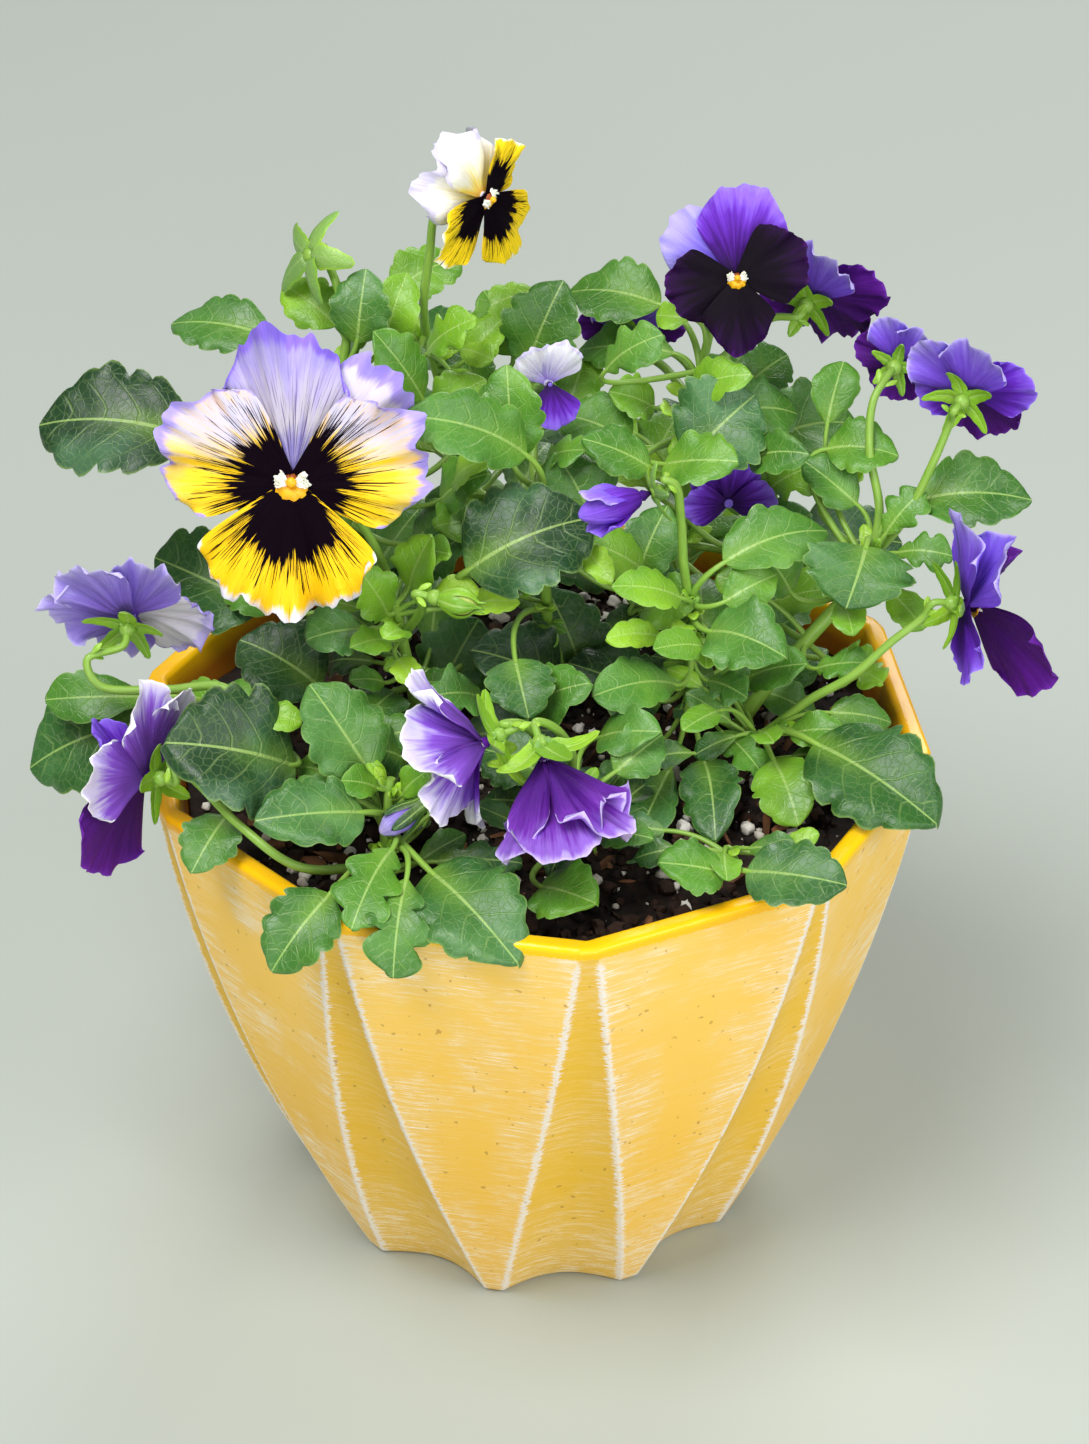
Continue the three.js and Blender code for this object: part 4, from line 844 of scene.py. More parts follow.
def petal_paint(look_name):
    """Velvety petal. lie holds the angle round the bloom, the share of the petal's length and a seed; more
    holds the underside, how near the edge is and the height on the bloom's face. The whole part of the seed
    tells the petals apart, and its fraction is how far a point is from the petal's middle line."""
    look = PETAL_LOOKS[look_name]
    paint = Paint("petal_" + look_name)
    shine = look.get("shine", 0.2)
    angle, share, seed = paint.attribute("lie")
    under, rim, side = paint.attribute("more")
    off_middle = paint.times(paint.math("FRACT", seed), 1.25)
    seed = paint.math("FLOOR", seed)
    streak_at = paint.vector(paint.times(angle, 8.0), paint.times(share, 0.8), seed)
    streak = paint.noise(streak_at, 1.6, 3.0, 0.6)
    fine_at = paint.vector(paint.times(angle, 34.0), share, seed)
    fine = paint.noise(fine_at, 1.7, 2.0, 0.6)
    line_at = paint.vector(paint.times(angle, 60.0), paint.times(share, 1.6), seed)
    line = paint.noise(line_at, 1.5, 2.0, 0.55)
    patch = paint.noise(paint.place(), 130.0, 2.0)
    blur = paint.centred(streak)
    run = paint.times_plus(blur, 0.75, share)
    run = paint.times_plus(paint.centred(patch), 0.3, run)
    colour = paint.ramp(run, look["out"])
    if "wash" in look:
        upper = paint.step(paint.times_plus(blur, 0.7, side), 0.08, 0.42)
        wash = paint.times(upper, paint.step(run, 0.2, 0.5))
        colour = paint.mix(wash, colour, look["wash"])
        glow = paint.times(paint.step(run, 0.55, 0.75), paint.step(fine, 0.42, 0.6))
        colour = paint.mix(paint.times(glow, 0.45), colour, srgb(244, 190, 60))
    edge_from = look["edge_from"]
    near_edge = paint.step(paint.times_plus(blur, 0.3, rim), edge_from, edge_from + 0.08)
    colour = paint.mix(near_edge, colour, look["edge"])
    if "vein" in look:
        vein = paint.most(paint.step(fine, 0.54, 0.64), paint.step(line, 0.58, 0.64))
        fade = paint.times(vein, look["vein_strength"])
        fade = paint.times(fade, paint.step(share, 1.0, 0.3))
        colour = paint.mix(fade, colour, look["vein"])
    if "blotch" in look:
        inner, outer = look["blotch"]
        level = paint.times_plus(share, 1 / (outer - inner), -inner / (outer - inner))
        level = paint.times_plus(paint.math("POWER", off_middle, 2.0), look["narrow"], level)
        ragged = paint.times_plus(blur, 1.5, 0.35)
        rays = paint.times(paint.step(fine, 0.48, 0.7), look["rays"])
        dark = paint.step(paint.minus(paint.plus(ragged, rays), level), -0.05, 0.05)
        # Thin whiskers run on from the blotch and narrow to their ends.
        end = paint.times_plus(blur, 0.6, look["whiskers"])
        taper = paint.most(paint.minus(share, paint.minus(end, 0.3)), 0.0)
        thin = paint.times_plus(taper, 0.32, 0.525)
        whisker = paint.step(line, thin, paint.plus(thin, 0.03))
        beyond = paint.times_plus(taper, 0.42, 0.53)
        whisker = paint.most(whisker, paint.step(fine, beyond, paint.plus(beyond, 0.03)))
        whisker = paint.times(whisker, paint.step(off_middle, 1.0, 0.8))
        dark = paint.most(dark, whisker)
        colour = paint.mix(dark, colour, BLOTCH)
        shine = paint.times_plus(dark, -0.16, shine)
    colour = paint.mix(paint.times(under, 0.35), colour, look["back"])
    shade = paint.times_plus(fine, 0.3, 0.85)
    colour = paint.mix(1.0, colour, paint.vector(shade, shade, shade), "MULTIPLY")
    paint.bump(paint.plus(streak, paint.plus(fine, line)), 0.3, 0.0007)
    return paint.finish(
        colour, Roughness=0.62, Specular_IOR_Level=shine, Subsurface_Weight=0.04, Subsurface_Scale=0.001,
    )


def leaf_paint():
    """Satin leaf. lie holds the place across and along the blade and a tone; more holds the underside, the
    place between side veins and the distance from the midrib in millimetres."""
    paint = Paint("leaf_green")
    across, along, tone = paint.attribute("lie")
    under, between, off_rib = paint.attribute("more")
    place = paint.place()
    mottle = paint.noise(place, 90.0, 4.0)
    patch = paint.noise(place, 30.0, 3.0)
    margin = paint.math("ABSOLUTE", across)
    depth = paint.times_plus(paint.centred(mottle), 0.4, tone)
    depth = paint.times_plus(paint.centred(patch), 0.5, depth)
    body = paint.ramp(depth, [
        (0.0, srgb(24, 60, 26)), (0.3, srgb(46, 96, 34)), (0.6, srgb(80, 136, 34)),
        (0.85, srgb(128, 180, 36)), (1.0, srgb(156, 202, 48)),
    ])
    # The blade is yellower along the midrib and at its base.
    heart = paint.times(paint.step(off_rib, 5.0, 0.5), paint.step(along, 0.75, 0.0))
    body = paint.mix(paint.times(heart, 0.5), body, srgb(128, 172, 54))
    # Painted sheen: grey-green patches of sheen over the darker leaves.
    bloom = paint.times(paint.step(patch, 0.46, 0.7), paint.step(tone, 0.75, 0.2))
    body = paint.mix(paint.times(bloom, 0.4), body, srgb(104, 146, 112))
    wobble = paint.times_plus(paint.centred(mottle), 0.2, between)
    vein_line = paint.math("PINGPONG", wobble, 0.5)
    reach = paint.step(margin, 0.95, 0.3)
    side_vein = paint.times(paint.step(vein_line, 0.06, 0.01), reach)
    net = paint.node("ShaderNodeTexVoronoi", feature="DISTANCE_TO_EDGE")
    paint.feed(net.inputs["Vector"], place)
    net.inputs["Scale"].default_value = 420.0
    mesh = paint.step(net.outputs["Distance"], 0.09, 0.02)
    thin = paint.times_plus(along, -0.4, 0.62)
    midrib = paint.step(off_rib, thin, paint.times(thin, 0.45))
    pale = paint.most(paint.times(side_vein, 0.2), paint.times(midrib, 0.58))
    pale = paint.most(pale, paint.times(mesh, 0.08))
    body = paint.mix(pale, body, srgb(172, 204, 112))
    body = paint.mix(paint.times(under, 0.55), body, srgb(118, 154, 100))
    rim = paint.times(paint.step(margin, 0.93, 1.0), 0.35)
    body = paint.mix(rim, body, srgb(150, 186, 96))
    relief = paint.times_plus(paint.noise(place, 900.0, 2.0), 0.35, paint.times(mottle, 0.8))
    relief = paint.minus(relief, paint.times(side_vein, 0.7))
    relief = paint.minus(relief, paint.times(mesh, 0.25))
    paint.bump(relief, 0.4, 0.0006)
    rough = paint.times_plus(mottle, 0.25, 0.28)
    return paint.finish(
        body, Roughness=rough, Specular_IOR_Level=0.5, Subsurface_Weight=0.05, Subsurface_Scale=0.001,
    )


def stem_paint(name, low, high):
    """Juicy stem, streaked along its length."""
    paint = Paint(name)
    turn, run, _ = paint.attribute("lie")
    streak = paint.noise(paint.vector(paint.math("SINE", turn), paint.math("COSINE", turn), run), 2.5, 3.0)
    fibre = paint.noise(paint.place(), 240.0, 2.0)
    colour = paint.mix(streak, low, high)
    colour = paint.mix(paint.times(fibre, 0.25), colour, high)
    paint.bump(fibre, 0.2, 0.0004)
    return paint.finish(
        colour, Roughness=0.4, Specular_IOR_Level=0.5, Subsurface_Weight=0.15, Subsurface_Scale=0.001,
    )


def pot_paint():
    """Matt ochre glaze with white rubbed into brush marks and along the ridges, and a glossy yellow rim. lie
    holds the way round in millimetres, the height in millimetres and the distance from the nearest ridge;
    more holds the rim band, the flute and the inside."""
    paint = Paint("ochre_glaze")
    around, height, ridge = paint.attribute("lie")
    band, flute, inside = paint.attribute("more")
    place = paint.place()
    cloud = paint.noise(place, 16.0, 4.0)
    soft = paint.noise(place, 34.0, 3.0, 0.6)
    fleck = paint.noise(place, 1100.0, 2.0, 0.6)
    off_flute = paint.minus(1.0, flute)
    tall = paint.step(height, 10.0, 150.0)
    base = paint.mix(tall, srgb(246, 190, 56), srgb(249, 203, 94))
    base = paint.mix(paint.times(paint.step(cloud, 0.4, 0.7), 0.6), base, srgb(244, 190, 62))
    base = paint.mix(paint.times(flute, 0.85), base, srgb(230, 182, 38))
    # Short marks of a dry brush drawn level round the pot, in clusters that thicken by the ridges and the
    # foot.
    drift = paint.times_plus(paint.centred(cloud), 7.0, height)
    brush_at = paint.vector(paint.times(around, 0.05), paint.times(drift, 0.5), flute)
    brush = paint.noise(brush_at, 1.0, 5.0, 0.7)
    hair_at = paint.vector(paint.times(around, 0.085), paint.times(drift, 1.9), flute)
    hair = paint.noise(hair_at, 1.0, 3.0, 0.7)
    near_ridge = paint.step(ridge, 20.0, 0.0)
    low = paint.step(height, 55.0, 0.0)
    want = paint.times_plus(near_ridge, 0.3, paint.step(soft, 0.42, 0.7))
    want = paint.times(want, paint.times_plus(off_flute, 0.7, 0.3))
    want = paint.times_plus(low, 0.7, want)
    marks = paint.times(paint.step(brush, 0.5, 0.64), want)
    hairs = paint.times(paint.step(hair, 0.54, 0.62), paint.times_plus(want, 1.0, 0.05))
    chalk = paint.times_plus(fleck, 0.9, 0.4)
    white = paint.most(paint.times(marks, 0.6), paint.times(hairs, 0.95))
    white = paint.times(white, chalk)
    colour = paint.mix(paint.times(want, 0.22), base, srgb(242, 218, 168))
    colour = paint.mix(white, colour, srgb(252, 243, 224))
    bristle_at = paint.vector(paint.times(around, 0.22), paint.times(height, 1.5), flute)
    bristle = paint.noise(bristle_at, 1.0, 3.0, 0.7)
    rough_edge = paint.times_plus(paint.centred(bristle), 7.0, ridge)
    rough_edge = paint.times_plus(paint.centred(fleck), 0.7, rough_edge)
    line = paint.times(paint.step(rough_edge, 0.9, 0.5), paint.step(height, 156.5, 153.0))
    colour = paint.mix(paint.times(line, 0.88), colour, srgb(240, 233, 226))
    pits = paint.step(paint.noise(place, 420.0, 1.0), 0.72, 0.76)
    colour = paint.mix(paint.times(pits, 0.5), colour, srgb(160, 112, 40))
    lip = paint.step(paint.times_plus(paint.centred(fleck), 0.5, band), 0.4, 0.6)
    lip_tone = paint.mix(paint.step(cloud, 0.35, 0.65), srgb(255, 200, 12), srgb(246, 178, 10))
    colour = paint.mix(lip, colour, lip_tone)
    # Painted shade: the inner wall below the rim is painted a darker orange-brown for the shade inside the
    # pot.
    wall = paint.mix(cloud, srgb(206, 126, 30), srgb(176, 102, 26))
    colour = paint.mix(inside, colour, wall)
    relief = paint.minus(paint.times(white, 0.6), paint.times(pits, 1.0))
    relief = paint.times_plus(hair, 0.3, relief)
    paint.bump(relief, 0.3, 0.0005)
    rough = paint.minus(0.6, paint.times(lip, 0.36))
    return paint.finish(colour, Roughness=rough, Specular_IOR_Level=0.35)


def grain_paint(name, low, high, scale, roughness):
    """A rough crumb, chip or lump: lie.z is each one's own seed."""
    paint = Paint(name)
    _, _, seed = paint.attribute("lie")
    speck = paint.noise(paint.place(), scale, 4.0)
    share = paint.times_plus(paint.centred(speck), 1.4, seed)
    colour = paint.mix(paint.step(share, 0.0, 1.0), low, high)
    paint.bump(speck, 0.6, 0.001)
    return paint.finish(colour, Roughness=roughness, Specular_IOR_Level=0.3)


def floor_paint():
    paint = Paint("backdrop")
    tone = paint.noise(paint.place(), 2.0, 2.0)
    return paint.finish(paint.mix(tone, srgb(174, 181, 174), srgb(177, 184, 177)), Roughness=0.9)


# Pot
def swell(share):
    return 4 * share * (1 - share)


def ring_point(radius, angle):
    return np.array([radius * math.sin(angle), -radius * math.cos(angle)])


def ridge_point(corner, side, z):
    """Where the ridge on one side of a rim corner stands at a height."""
    share = z / POT["height"]
    step = 360 / POT["sides"]
    rim_angle = math.radians(POT["turn"] + corner * step)
    rim_angle += side * POT["rim_ridge_gap"] / 2 / POT["rim_radius"]
    base_angle = math.radians(POT["turn"] + (corner + side / 2) * step)
    base_angle -= side * POT["base_ridge_gap"] / 2 / POT["base_radius"]
    base = ring_point(POT["base_radius"], base_angle)
    point = base + (ring_point(POT["rim_radius"], rim_angle) - base) * share
    return point + point / np.linalg.norm(point) * POT["bulge"] * swell(share)


FLUTE_STEPS = 14
PANEL_STEPS = 22
RIDGE_ROUNDING = 2
POT_EDGE_STEPS = 6
POT_ROWS = 100
INNER_ROWS = 24
# Below the rim: where the glossy band starts and is full, and where the painted shade on the inner wall
# starts and is full.
RIM_BAND = (4.2, 2.6)
INNER_SHADE = (3.0, 6.5)
# Turns become millimetres round the pot at this radius. Places away from any ridge have this distance to it.
MEAN_RADIUS = 90
OFF_RIDGE = 40.0


def ease(count):
    """Shares from 0 to 1 that lie closer together at both ends."""
    return (1 - np.cos(np.linspace(0, math.pi, count + 1))) / 2


def pot_outline(z):
    """One height of the outside: points, the distance of each from its ridge, and 1 in the flutes."""
    share = z / POT["height"]
    points, ridges, flutes = [], [], []
    for corner in range(POT["sides"]):
        left = ridge_point(corner, -1, z)
        right = ridge_point(corner, 1, z)
        following = ridge_point(corner + 1, -1, z)
        width = np.linalg.norm(right - left)
        for f in ease(FLUTE_STEPS)[:-1]:
            point = left + (right - left) * f
            depth = POT["flute_depth"] * (1 - share) * swell(f)
            points.append(point - point / np.linalg.norm(point) * depth)
            ridges.append(min(f, 1 - f) * width)
            flutes.append(1.0 if 0 < f < 1 else 0.0)
        width = np.linalg.norm(following - right)
        for f in ease(PANEL_STEPS)[:-1]:
            points.append(right + (following - right) * f)
            ridges.append(min(f, 1 - f) * width)
            flutes.append(0.0)
    points = np.array(points)
    for _ in range(RIDGE_ROUNDING):
        points = points * 0.5 + (np.roll(points, 1, axis=0) + np.roll(points, -1, axis=0)) * 0.25
    return points, np.array(ridges), np.array(flutes)


def inner_radius(z, angle):
    """The inside is a plain ten-sided funnel."""
    share = (z - POT["floor"]) / (POT["height"] - POT["floor"])
    step = 2 * math.pi / POT["sides"]
    rim = POT["rim_radius"] - POT["wall"]
    corner = POT["inner_floor_radius"] + (rim - POT["inner_floor_radius"]) * share
    corner += POT["inner_bulge"] * swell(share)
    away = np.mod(angle - math.radians(POT["turn"]), step) - step / 2
    return corner * math.cos(step / 2) / np.cos(away)


def inner_outline(z, angles):
    """The inside at a height, with its corners rounded a little."""
    radius = inner_radius(z, angles)
    for _ in range(RIDGE_ROUNDING):
        radius = radius * 0.5 + (np.roll(radius, 1) + np.roll(radius, -1)) * 0.25
    return np.stack([radius * np.sin(angles), -radius * np.cos(angles)], axis=-1)


def make_pot():
    height, edge = POT["height"], POT["edge"]
    turns = np.linspace(0, math.pi / 2, POT_EDGE_STEPS)
    corner = [(edge * (1 - math.cos(turn)), edge * (1 - math.sin(turn))) for turn in turns]
    outside = corner + [(z, 0.0) for z in np.linspace(edge, height - edge, POT_ROWS)[1:-1]]
    outside += [(height - inset, rise) for rise, inset in corner]
    within = [(height - rise, inset) for rise, inset in corner]
    within += [(z, 0.0) for z in np.linspace(height - edge, POT["floor"], INNER_ROWS)[1:]]
    top, _, _ = pot_outline(height)
    angles = np.arctan2(top[:, 0], -top[:, 1])
    count = len(angles)
    rings, lies, mores = [], [], []
    for z, inset in outside:
        points, ridges, flutes = pot_outline(z)
        reach = np.linalg.norm(points, axis=1)
        points = points * ((reach - inset) / reach)[:, None]
        rings.append(three(*points.T, z))
        around = np.unwrap(np.arctan2(points[:, 0], -points[:, 1])) * MEAN_RADIUS
        lies.append(three(around, z, ridges))
        band = smooth_step(height - RIM_BAND[0], height - RIM_BAND[1], z)
        mores.append(three(band, flutes, 0))
    for z, inset in within:
        points = inner_outline(z, angles)
        reach = np.linalg.norm(points, axis=1)
        points = points * ((reach + inset) / reach)[:, None]
        rings.append(three(*points.T, z))
        lies.append(three(angles * MEAN_RADIUS, z, OFF_RIDGE))
        # Painted shade on the inner wall, from just below the rim downwards.
        inside = smooth_step(height - INNER_SHADE[0], height - INNER_SHADE[1], z)
        mores.append(three(np.ones(count), 0, inside))
    faces = ring_faces(len(rings), count)
    rings.append(np.array([[0, 0, 0], [0, 0, POT["floor"]]]))
    lies.append(np.array([[0, 0, OFF_RIDGE], [0, 0, OFF_RIDGE]]))
    mores.append(np.array([[0, 0, 0], [0, 0, 1]]))
    pile = Pile()
    pile.add(np.concatenate(rings), faces, 0, np.concatenate(lies), np.concatenate(mores))
    return pile.build("glazed_pot", [pot_paint()])


# Soil
SOIL_SPOKES = 240
SOIL_RINGS = 56
# Heights of the rings round its side over the lowest one, and heights of its coarse and its fine relief.
SOIL_LEVELS = (60, 100, SOIL["top"] - 4)
SOIL_RELIEF = (1.6, 1.1)
SOIL_TONE = 0.3
SOIL_SEED = 7
MOUND_REACH = 100
# Lumps are strewn over this share of the soil's radius. squash holds their least and most width, depth and
# height as shares of their size.
LUMP_REACH = 0.97
CRUMBS = 1900
CRUMB_SQUASH = ((0.8, 1.2), (0.8, 1.2), (0.6, 1.0))
CHIPS = 420
CHIP_SQUASH = ((1.2, 2.2), (0.5, 0.9), (0.25, 0.4))
LARGE_GRAINS = 150
SMALL_GRAINS = 620
GRAIN_SQUASH = ((0.8, 1.2), (0.8, 1.2), (0.7, 1.0))


def mound_height(x, y):
    """The top of the soil without its lumps."""
    share = min(1.0, math.hypot(x, y) / MOUND_REACH)
    return SOIL["top"] + SOIL["mound"] * (1 - share * share)


def soil_height(x, y):
    """The lumpy top of the soil."""
    coarse = noise.fractal(Vector((x * 0.05, y * 0.05, 3)), 1.0, 2.0, 3)
    fine = noise.fractal(Vector((x * 0.3, y * 0.3, 9)), 0.8, 2.0, 4)
    return mound_height(x, y) + SOIL_RELIEF[0] * coarse + SOIL_RELIEF[1] * fine


def make_soil_body():
    angles = np.linspace(0, 2 * math.pi, SOIL_SPOKES, endpoint=False)
    rings = []
    for z in (POT["floor"] + SOIL["gap"], *SOIL_LEVELS):
        radius = inner_radius(z, angles) - SOIL["gap"]
        rings.append(three(radius * np.sin(angles), -radius * np.cos(angles), z))
    edge = inner_radius(SOIL["top"], angles) - SOIL["gap"]
    for share in np.linspace(1, 0, SOIL_RINGS + 1)[:-1]:
        x = share * edge * np.sin(angles)
        y = -share * edge * np.cos(angles)
        rings.append(three(x, y, [soil_height(a, b) for a, b in zip(x, y)]))
    faces = ring_faces(len(rings), SOIL_SPOKES)
    rings.append(np.array([[0, 0, POT["floor"] + SOIL["gap"]], [0, 0, soil_height(0, 0)]]))
    points = np.concatenate(rings)
    pile = Pile()
    pile.add(points, faces, 0, np.full(points.shape, SOIL_TONE), np.zeros(points.shape))
    return pile


def lump_shape(detail):
    work = bmesh.new()
    bmesh.ops.create_icosphere(work, subdivisions=detail, radius=1.0)
    points = np.array([v.co[:] for v in work.verts])
    faces = np.array([[v.index for v in f.verts] for f in work.faces])
    work.free()
    return points, faces


def scatter_lumps(pile, count, sizes, squash, kind, rng, detail=1, sink=0.2):
    """Small rough lumps strewn on the soil: sizes are the least and most radius, squash the least and most
    share of it in each direction."""
    shape, faces = lump_shape(detail)
    for _ in range(count):
        angle = rng.uniform(0, 2 * math.pi)
        edge = float(inner_radius(SOIL["top"], np.array([angle]))[0]) - SOIL["gap"] - sizes[1]
        radius = edge * LUMP_REACH * math.sqrt(rng.random())
        x, y = radius * math.sin(angle), -radius * math.cos(angle)
        size = sizes[0] + (sizes[1] - sizes[0]) * rng.random() ** 2.5
        scale = np.array([rng.uniform(*limits) for limits in squash]) * size
        turn = np.array(Vector((rng.random(), rng.random(), rng.random())).normalized())
        tilt = rng.uniform(0, math.pi)
        rough = 1 + 0.3 * (np.array([rng.random() for _ in range(len(shape))]) - 0.5) * 2
        points = turned(shape * rough[:, None] * scale, turn, tilt)
        low = -points[:, 2].min()
        points = points + np.array([x, y, soil_height(x, y) + low * (1 - 2 * sink)])
        lie = np.tile([0, 0, rng.random()], (len(points), 1))
        pile.add(points, [faces], kind, lie, lie * 0)


def turned(points, axis, angle):
    """Points turned about an axis through the origin."""
    cosine, sine = math.cos(angle), math.sin(angle)
    along = (points @ axis)[:, None] * axis
    return along + (points - along) * cosine + np.cross(axis, points) * sine


def place_clods(pile, rng):
    """The biggest lumps, each at its own place, rounded and rough."""
    shape, faces = lump_shape(3)
    for x, y in CLODS:
        offset = Vector((rng.random() * 9, x, y))
        rough = np.array([1 + 0.28 * noise.fractal(Vector(p) * 1.6 + offset, 1.0, 2.0, 3) for p in shape])
        points = turned(shape * rough[:, None] * CLOD_SQUASH * CLOD_SIZE, UP, x * y)
        lie = np.tile([0, 0, 0.5 * rng.random()], (len(points), 1))
        pile.add(points + np.array([x, y, mound_height(x, y) - 0.2 * CLOD_SIZE]), [faces], 0, lie, lie * 0)


def make_soil():
    rng = random.Random(SOIL_SEED)
    pile = make_soil_body()
    place_clods(pile, rng)
    scatter_lumps(pile, CRUMBS, (0.6, 2.8), CRUMB_SQUASH, 0, rng)
    scatter_lumps(pile, CHIPS, (1.0, 3.6), CHIP_SQUASH, 1, rng)
    return pile.build("potting_soil", [
        grain_paint("damp_peat", srgb(20, 13, 10), srgb(62, 42, 32), 260.0, 0.85),
        grain_paint("bark_chips", srgb(48, 30, 22), srgb(128, 84, 54), 180.0, 0.7),
    ], sharp=50)


def make_perlite():
    rng = random.Random(SOIL_SEED + 1)
    pile = Pile()
    scatter_lumps(pile, LARGE_GRAINS, (1.2, 2.9), GRAIN_SQUASH, 0, rng, detail=2, sink=0.15)
    scatter_lumps(pile, SMALL_GRAINS, (0.4, 1.5), GRAIN_SQUASH, 0, rng, sink=0.1)
    white = grain_paint("perlite", srgb(176, 168, 154), srgb(240, 236, 226), 200.0, 0.8)
    return pile.build("perlite_lumps", [white])


# Stems and leaves
LEAF_ROWS = 42
LEAF_COLUMNS = 8
STALK_STEPS = 12
SIDE_VEINS = 4.4
LEAF_FACE = 0.22
# Blades from these widths on have one more tooth on each side.
TOOTH_WIDTHS = (17, 26)
# Painted shade: leaves low and far in the crown get a darker tone for the shade there: from and to where, in
# height and in distance from the middle.
CROWN_SHADE_HEIGHTS = (205, 165)
CROWN_SHADE_RADII = (78, 55)


def stem_curve(stem):
    x, y = stem["root"]
    start = [(x, y, SOIL["top"] - STEM_ROOT_DEPTH), (x, y, SOIL["top"])]
    return np.array([*start, *stem["way"]], float)


def stem_point(points, share):
    """A share of the way up the stem, from the soil to its tip."""
    spans = len(points) - 1
    fine = catmull_rom(points, 20 * spans + 1)
    at = (1 + share * (spans - 1)) / spans * (len(fine) - 1)
    low = min(int(at), len(fine) - 2)
    return fine[low] + (fine[low + 1] - fine[low]) * (at - low)


def blade_axes(along, facing):
    normal = facing - along * facing.dot(along)
    normal = normal / np.linalg.norm(normal)
    return np.cross(along, normal), normal


def bezier(start, turn, end, count):
    t = np.linspace(0, 1, count)[:, None]
    return start * (1 - t) ** 2 + turn * 2 * t * (1 - t) + end * t**2


def tooth_count(kind_name, width):
    """How many rounded teeth a blade has on each side."""
    if kind_name == "lobed":
        return 3
    return 4 + sum(width >= limit for limit in TOOTH_WIDTHS)


def leaf(pile, kind_name, start, base, tip, width, rng, tone_shift=0.0, fine=1.0):
    """A leaf: its stalk, and a blade arched along its midrib, folded and quilted between its veins."""
    kind = LEAF_KINDS[kind_name]
    base, tip = np.array(base, float), np.array(tip, float)
    length = np.linalg.norm(tip - base)
    along = (tip - base) / length
    across, normal = blade_axes(along, LIGHT)
    seed = rng.random()

    reach = np.linalg.norm(base - start)
    stalk = bezier(start, base - along * 0.45 * reach, base + along * 0.06 * length, STALK_STEPS)
    thick = 0.55 + 0.016 * width
    tube(pile, stalk, np.linspace(thick * 1.25, thick * 0.8, STALK_STEPS), 1, seed, sides=8)

    # The outline: t runs from base to tip and u from edge to edge, and both lie closer at their ends.
    teeth = tooth_count(kind_name, width)
    rows = int(max(10, min(LEAF_ROWS, 17 + 0.8 * length) * fine))
    columns = int(max(3, min(LEAF_COLUMNS, 2.6 + width / 5) * fine))
    even = np.linspace(-1, 1, 2 * columns + 1)
    t, u = grid(ease(rows - 1), np.sign(even) * np.abs(even) ** 0.85)
    edge, side = np.abs(u), np.sign(u)
    peak = kind["rise"] / (kind["rise"] + kind["fall"])
    top = peak ** kind["rise"] * (1 - peak) ** kind["fall"]
    half = width / 2 * t ** kind["rise"] * (1 - t) ** kind["fall"] / top
    skew = np.mod(t * teeth + 0.35 * seed + 0.12 * side, 1.0) ** 1.5
    lobe = np.sqrt(np.clip(1 - (2 * skew - 1) ** 2, 0, 1))
    grown = np.clip(t * 5 - 0.4, 0, 1)
    cut = kind["notch"] * (1 - lobe) * grown
    half = half * (1 - cut * edge ** kind["depth"])
    curve = (rng.random() - 0.5) * 0.26
    x = u * half
    y = t * length + 0.035 * length * (skew - 0.5) * edge**5 * grown * (1 - t)

    # The relief over the line from base to tip.
    fold = kind["fold"] * (0.5 + 0.9 * seed) * (np.sqrt(x * x + 1.5) - 1.22)
    droop = 0.03 + 0.13 * rng.random()
    arch = length * (kind["arch"] * swell(t) - droop * t**2.5)
    between = (y - 0.45 * np.abs(x) - 0.62 * x * x / (width / 2)) / length
    between = SIDE_VEINS * between + 0.5 + 0.2 * side
    quilt = np.abs(np.sin(math.pi * (between + 0.5)))
    inner = np.clip(1 - edge**4, 0, 1) * np.clip(np.abs(x) / 2.5, 0, 1)
    puff = (0.012 * width + 0.06) * (quilt - 0.5) * inner
    slow = np.sin(2 * math.pi * (1.25 * t + seed + 0.27 * side))
    quick = np.sin(2 * math.pi * (teeth * 0.5 * t + 3 * seed + 0.31 * side))
    wave = width * edge**2.2 * (0.065 * slow + 0.035 * quick)
    wave = wave * np.clip(t * 4, 0, 1) * np.clip((1 - t) * 5, 0.3, 1)
    roll = -0.05 * width * (0.4 + rng.random()) * np.clip(edge - 0.55, 0, 1) ** 2 / 0.2
    twist = (rng.random() - 0.5) * 0.6
    z = arch + fold + puff + wave + roll * np.clip(t * 3, 0, 1) + x * twist * t
    sway = curve * length * t**2
    points = base + (x + sway)[..., None] * across + y[..., None] * along + z[..., None] * normal

    # The midrib is a groove above and stands out below.
    over = LEAF_FACE - 0.3 * np.exp(-((x / 0.5) ** 2)) * (1 - t)
    under = LEAF_FACE + np.exp(-((x / (0.5 + 0.012 * width)) ** 2)) * (1 - t) * (0.35 + 0.012 * width)
    middle = (base + tip) / 2
    off_middle = math.hypot(middle[0], middle[1])
    # Painted shade: a darker tone for leaves low and far inside the crown.
    inside = smooth_step(*CROWN_SHADE_HEIGHTS, middle[2]) * smooth_step(*CROWN_SHADE_RADII, off_middle)
    tone = 1.02 - width / 40 + 0.36 * (rng.random() - 0.5) + tone_shift - 0.3 * float(inside)
    lie = three(u, t, np.clip(tone, 0, 1))
    more = three(0, between, np.abs(x) / (0.6 + 0.022 * width))
    thin_sheet(pile, points, normal, over, under, 0, lie, more)


def bloom_frame(bloom):
    """A bloom's hub, and the directions to its right, its top and the way it faces."""
    a, e = math.radians(bloom["azimuth"]), math.radians(bloom["elevation"])
    face = np.array([math.sin(a) * math.cos(e), -math.cos(a) * math.cos(e), math.sin(e)])
    up = UP - face * face[2]
    up = up / np.linalg.norm(up)
    up = turned(up[None, :], face, math.radians(bloom.get("spin", 0)))[0]
    return np.array(bloom["hub"], float), np.cross(up, face), up, face


def outward(turn, right, up):
    """Directions across a bloom's face at the angles given."""
    return np.cos(turn)[..., None] * right + np.sin(turn)[..., None] * up


